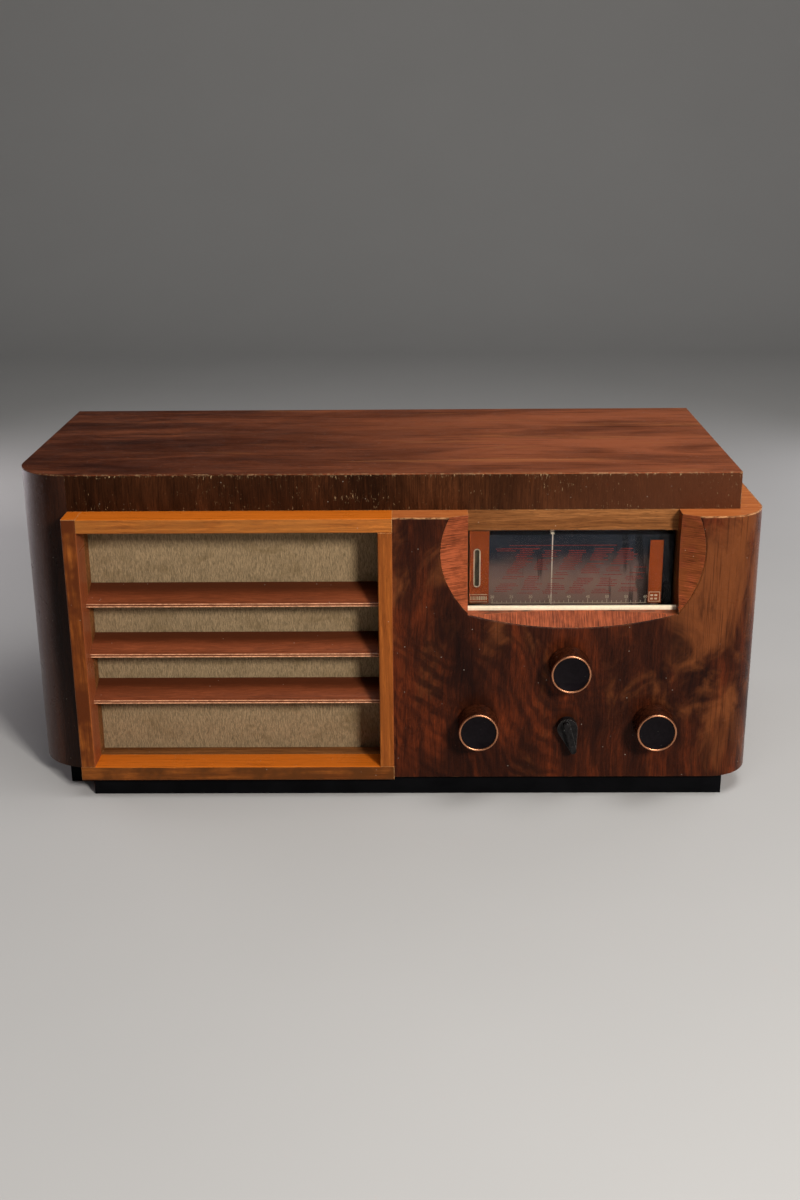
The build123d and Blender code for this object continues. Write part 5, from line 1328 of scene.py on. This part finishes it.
class RADIO_OT_valves(bpy.types.Operator):
    """Blows the valve bulbs, with their anodes and top caps"""

    bl_idname = "radio.valves"
    bl_label = "Valves"
    bl_options = {"REGISTER", "UNDO"}

    def execute(self, context):
        dress("valve_bases", moulded, "Valve base resin", (0.022, 0.015, 0.012), rough=(0.3, 0.5))
        glass = finish(clear_glass, "Valve glass", (0.92, 0.93, 0.92), grime=0.25)
        plate = finish(metal, "Blackened anode", (0.20, 0.20, 0.20), rough=(0.5, 0.7))
        cap = finish(metal, "Tinned cap", (0.66, 0.66, 0.64))
        bulbs, anodes, caps = bmesh.new(), bmesh.new(), bmesh.new()
        for low, high in separate_boxes("valve_bulbs"):
            spot = ((low.x + high.x) / 2, (low.y + high.y) / 2, low.z)
            wide = (high.x - low.x) / 2 - 0.2
            outer = [(0, 0.2), (12, 0.2), (13, 2), (13.5, 10), (wide, 26), (wide, 46), (14, 55),
                (11, 60), (10.4, 66),
                     (7, 70.5), (0, 71.5)]
            inner = [
                (max(r - 0.9, 0), d + (0.9 if d < 5 else -0.9 if d > 60 else 0)) for r, d in reversed(outer)
            ]
            turn_shape(bulbs, outer + inner, spot, upright=True, steps=40)
            anode = [(0, 14), (7.5, 14), (7.5, 16), (8.3, 17), (8.3, 40), (7.5, 41), (7.5, 44), (0, 44)]
            turn_shape(anodes, anode, spot, upright=True, steps=28)
            turn_shape(caps, [(0, 71.6), (3.6, 71.6), (3.6, 72.2), (0, 72.9)], spot, upright=True, steps=24)
        settle(bulbs, "valve_envelopes", glass, replaces=["valve_bulbs"], sharp=60)
        settle(anodes, "valve_anodes", plate)
        settle(caps, "valve_top_caps", cap)
        return {"FINISHED"}


class RADIO_OT_works(bpy.types.Operator):
    """Finishes the loudspeaker, the transformers and the back cover"""

    bl_idname = "radio.works"
    bl_label = "Loudspeaker and back"
    bl_options = {"REGISTER", "UNDO"}

    def execute(self, context):
        black, bared = (0.03, 0.028, 0.027), (0.25, 0.2, 0.16)
        dress("speaker_basket speaker_magnet", enamel, "Speaker enamel", (0.055, 0.057, 0.06))
        dress(
            "output_transformer power_transformer", enamel, "Black lamination lacquer", black, chips=bared
        )
        dress(
            "speaker_cone", soft_matter, "Felted cone paper", (0.045, 0.042, 0.038), scale=2.0, relief=0.15
        )
        dress("back_cover", fibre_board)
        return {"FINISHED"}


# where the camera stands, in metres, and how far it looks down, swings and rolls, in degrees
CAMERA_AT = (0.02506, -1.25028, 0.56558)
CAMERA_DOWN = 19.01
CAMERA_SWING = 0.77
CAMERA_ROLL = -0.47
# the floor's sweep behind the set, in millimetres
SWEEP_HALF_WIDTH = 6000
SWEEP_BEND = 1200
SWEEP_BACK = 2200


class RADIO_OT_stage(bpy.types.Operator):
    """Sets the radio on a plain pale floor under soft studio light, with the camera in front"""

    bl_idname = "radio.stage"
    bl_label = "Stage"
    bl_options = {"REGISTER", "UNDO"}

    def execute(self, context):
        scene = context.scene
        look = scene.radio_stage
        material, tree, shader = blank("Pale floor", Roughness=0.75, Specular_IOR_Level=0.2)
        soft = cloudy(tree, object_mm(tree), 0.004, 3.0, 0.5)
        tone = mixed(tree, soft, scaled(look.floor, 0.97), scaled(look.floor, 1.03))
        tree.links.new(tone, shader.inputs["Base Color"])
        bm = bmesh.new()
        bends = [radians(9 * k) for k in range(11)]
        curve = [(SWEEP_BACK + SWEEP_BEND * sin(a), SWEEP_BEND - SWEEP_BEND * cos(a)) for a in bends]
        line = [(-6000, 0), (-1500, 0), *curve, (SWEEP_BACK + SWEEP_BEND, 6000)]
        verts = [bm.verts.new((-SWEEP_HALF_WIDTH, y, z)) for y, z in line]
        edges = [bm.edges.new(pair) for pair in zip(verts, verts[1:])]
        made = bmesh.ops.extrude_edge_only(bm, edges=edges)["geom"]
        bmesh.ops.translate(
            bm, vec=(2 * SWEEP_HALF_WIDTH, 0, 0),
            verts=[v for v in made if isinstance(v, bmesh.types.BMVert)],
        )
        bmesh.ops.scale(bm, vec=(MM, MM, MM), verts=bm.verts)
        mesh = bpy.data.meshes.new("studio_sweep")
        bm.to_mesh(mesh)
        bm.free()
        mesh.shade_smooth()
        mesh.materials.append(material)
        sweep = bpy.data.objects.new("studio_sweep", mesh)
        scene.collection.objects.link(sweep)
        self.light("key", look.key, 0.34, 0.34, (0.92, -1.83, 1.12), (1.0, 0.96, 0.91))
        self.light("overhead", look.top, 1.5, 0.8, (0.45, -0.45, 1.85), (1.0, 0.985, 0.97))
        self.light("left_screen", look.rim, 0.9, 0.5, (-1.25, 0.66, 0.26), (1.0, 0.93, 0.98))
        self.light("right_screen", look.rim * 0.6, 0.7, 0.5, (1.2, 0.85, 0.26), (0.97, 0.94, 1.0))
        world = bpy.data.worlds.new("Soft surround")
        world.use_nodes = True
        world.node_tree.nodes["Background"].inputs["Color"].default_value = (0.62, 0.64, 0.68, 1)
        world.node_tree.nodes["Background"].inputs["Strength"].default_value = 0.08
        scene.world = world
        camera = bpy.data.objects.new("camera", bpy.data.cameras.new("camera"))
        scene.collection.objects.link(camera)
        camera.data.lens = look.lens
        camera.data.clip_start = 0.05
        camera.location = CAMERA_AT
        tilt = Euler((radians(90 - CAMERA_DOWN), 0, 0)).to_matrix()
        swing = Euler((0, 0, radians(CAMERA_SWING))).to_matrix()
        roll = Euler((0, 0, radians(CAMERA_ROLL))).to_matrix()
        camera.rotation_euler = (swing @ tilt @ roll).to_euler()
        scene.camera = camera
        scene.view_settings.view_transform = "Standard"
        return {"FINISHED"}

    def light(self, name, power, wide, tall, spot, colour):
        data = bpy.data.lights.new(name, "AREA")
        data.shape = "RECTANGLE"
        data.size, data.size_y = wide, tall
        data.energy = power
        data.color = colour
        lamp = bpy.data.objects.new(name, data)
        lamp.location = spot
        lamp.visible_camera = False
        aim = Vector((0, -0.05, 0.14)) - Vector(spot)
        lamp.rotation_euler = aim.to_track_quat("-Z", "Y").to_euler()
        bpy.context.scene.collection.objects.link(lamp)


STEPS = (
    RADIO_OT_stage,
    RADIO_OT_cabinet,
    RADIO_OT_grille,
    RADIO_OT_grille_cloth,
    RADIO_OT_knobs,
    RADIO_OT_dial,
    RADIO_OT_drive,
    RADIO_OT_valves,
    RADIO_OT_works,
)


class RADIO_PT_sidebar(bpy.types.Panel):
    """Settings and steps of the radio"""

    bl_idname = "RADIO_PT_sidebar"
    bl_label = "Table Radio"
    bl_space_type = "VIEW_3D"
    bl_region_type = "UI"
    bl_category = "Table Radio"

    def draw(self, context):
        for name, group in GROUPS.items():
            column = self.layout.column(align=True)
            for key in group.__annotations__:
                column.prop(getattr(context.scene, name), key)
        for step in STEPS:
            self.layout.operator(step.bl_idname)


CLASSES = (*GROUPS.values(), *STEPS, RADIO_PT_sidebar)


def register():
    for cls in CLASSES:
        bpy.utils.register_class(cls)
    for name, group in GROUPS.items():
        setattr(bpy.types.Scene, name, PointerProperty(type=group))


def unregister():
    for name in GROUPS:
        delattr(bpy.types.Scene, name)
    for cls in reversed(CLASSES):
        bpy.utils.unregister_class(cls)


def main():
    register()
    for step in STEPS:
        group, operator = step.bl_idname.split(".")
        getattr(getattr(bpy.ops, group), operator)()


if __name__ == "__main__":
    main()
